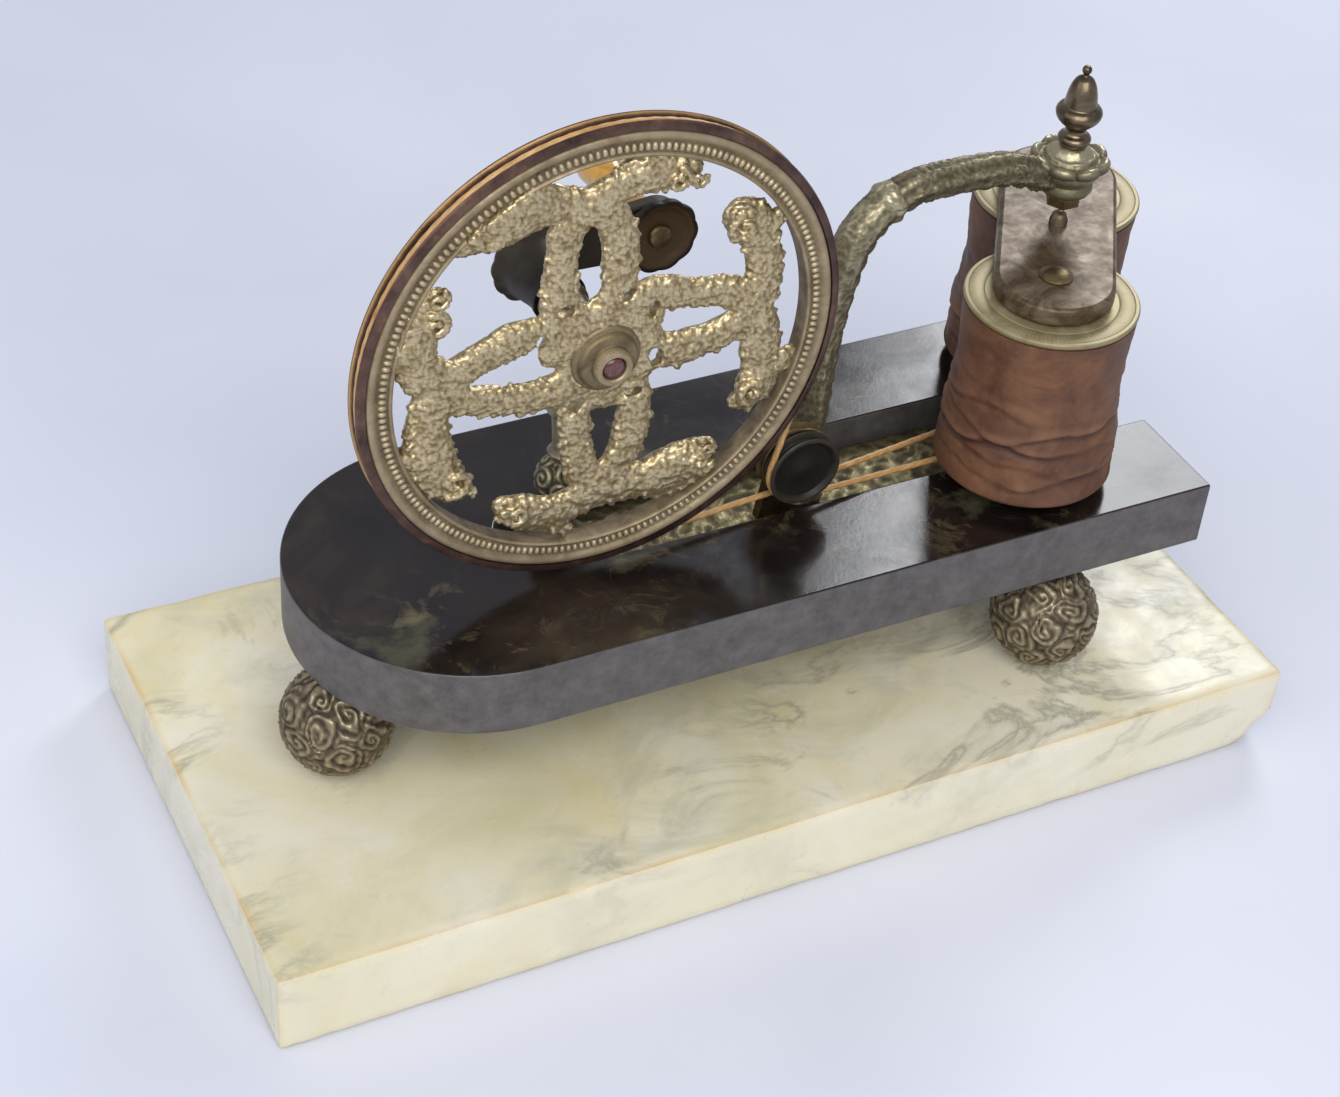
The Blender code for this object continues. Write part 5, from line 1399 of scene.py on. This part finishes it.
def cord_route():
    """The endless cord: round the wheel, under both guide pulleys and round the spindle pulley."""
    on_wheel, on_guide, on_pulley = 63.0, 9.8, 6.8
    across, down = GUIDE_X - WHEEL_X, GUIDE_Z - WHEEL_Z
    apart, heading = math.hypot(across, down), math.degrees(math.atan2(down, across))
    outer = heading - math.degrees(math.acos((on_wheel - on_guide) / apart))
    crossed = heading + math.degrees(math.acos((on_wheel + on_guide) / apart))
    run = SPINDLE_X - GUIDE_X
    lead = -90 - math.degrees(math.atan2(GUIDE_Z - on_guide - SPINDLE_GROOVE_Z, run))
    rear_slope = math.degrees(math.atan2(MID_Y + on_pulley - GUIDE_REAR_Y, run))
    front_slope = math.degrees(math.atan2(MID_Y - on_pulley - GUIDE_FRONT_Y, run))
    corners = [(x, WHEEL_Y, z) for x, z in arc(WHEEL_X, WHEEL_Z, on_wheel, crossed, outer + 360, 120)]
    corners += [(x, GUIDE_REAR_Y, z) for x, z in arc(GUIDE_X, GUIDE_Z, on_guide, outer, lead, 6)]
    turn_round = arc(SPINDLE_X, MID_Y, on_pulley, 90 + rear_slope, -90 + front_slope, 20)
    corners += [(x, y, SPINDLE_GROOVE_Z) for x, y in turn_round]
    back = arc(GUIDE_X, GUIDE_Z, on_guide, 360 + lead, 180 + crossed, 24)
    corners += [(x, GUIDE_FRONT_Y, z) for x, z in back]
    route = []
    for start, end in zip(corners, corners[1:] + corners[:1]):
        start, end = np.array(start), np.array(end)
        pieces = max(1, int(np.linalg.norm(end - start) / CORD_STEP))
        route += [start + (end - start) * step / pieces for step in range(pieces)]
    return np.array(route)


def make_cord():
    """Twisted gut: three strands laid round each other."""
    route = cord_route()
    sides = 15
    steps = np.linalg.norm(np.roll(route, -1, 0) - route, axis=1)
    along = np.concatenate([[0], np.cumsum(steps)[:-1]])
    twist = 2 * math.pi * round(steps.sum() / LAY_LENGTH) / steps.sum()

    def lay(step, angle):
        return 0.86 + 0.14 * abs(math.cos(STRANDS / 2 * (angle + twist * along[step] / STRANDS)))

    shape = swept(route, np.full(len(route), CORD_RADIUS), sides, lay, closed=True, up=(0.3, 1, 0.2))
    near = np.repeat(route, sides, axis=0)
    relief = level(np.linalg.norm(shape[0] - near, axis=1), 0.76, 0.9)
    make("cord_twisted", shape, "gut", "drive_cord", relief, crease=80)


# ---- floor, light and camera, in metres ----

FLOOR_REACH = 9.0
FLOOR_DROP = 0.0002
SKY_COLOUR, SKY_STRENGTH = (0.86, 0.89, 1.0, 1), 0.48
# Place, target, width and height, watts, colour
LIGHTS = {
    "key_light": ((-0.35, -0.95, 1.0), (0, -0.05, 0.08), (1.2, 0.9), 15, (1.0, 0.98, 0.94)),
    "fill_light": ((-1.0, -0.1, 0.8), (0, 0, 0.08), (0.9, 0.9), 3.5, (0.95, 0.97, 1.0)),
    "window_light": ((0.80, 0.72, 0.80), (0.06, -0.02, 0.07), (0.42, 0.5), 5.2, (0.95, 0.97, 1.0)),
}
CAMERA_PLACE = (-0.2782, -0.4710, 0.5040)
CAMERA_TURN = (50.7516, -3.9676, -26.2145)
CAMERA_LENS = 69.54


def added(name, data):
    obj = bpy.data.objects.new(name, data)
    bpy.context.scene.collection.objects.link(obj)
    return obj


def make_studio():
    """A pale floor, a soft sky, three panels of light and the camera."""
    mesh = bpy.data.meshes.new("floor")
    corners = [(x * FLOOR_REACH, y * FLOOR_REACH, 0) for x, y in ((-1, -1), (1, -1), (1, 1), (-1, 1))]
    mesh.from_pydata(corners, [], [(0, 1, 2, 3)])
    mesh.materials.append(floor_look())
    floor = added("floor", mesh)
    floor.location.z = -FLOOR_DROP

    world = bpy.data.worlds.new("studio")
    world.use_nodes = True
    sky = world.node_tree.nodes["Background"]
    sky.inputs["Color"].default_value = SKY_COLOUR
    sky.inputs["Strength"].default_value = SKY_STRENGTH
    bpy.context.scene.world = world
    for name, (place, target, size, power, colour) in LIGHTS.items():
        light = bpy.data.lights.new(name, "AREA")
        light.shape = "RECTANGLE"
        light.size, light.size_y = size
        light.energy = power
        light.color = colour
        panel = added(name, light)
        panel.location = place
        panel.rotation_euler = (Vector(target) - Vector(place)).to_track_quat("-Z", "Y").to_euler()

    lens = bpy.data.cameras.new("camera")
    lens.lens = CAMERA_LENS
    lens.sensor_width = 36
    lens.clip_start = 0.01
    camera = added("camera", lens)
    camera.location = CAMERA_PLACE
    camera.rotation_euler = [math.radians(angle) for angle in CAMERA_TURN]
    bpy.context.scene.camera = camera
    bpy.context.scene.view_settings.view_transform = "Standard"


make_studio()
make_slab()
make_feet()
make_magnet()
make_bed()
make_pillar()
make_arm()
make_pivot()
make_rim()
make_bead_ring()
make_spider()
make_hub()
make_crank()
for coil, coil_side in (("front", 1), ("rear", -1)):
    make_bobbin(coil, coil_side)
    make_winding(coil, coil_side)
make_yoke()
make_spindle()
make_straps()
make_guides()
make_cord()
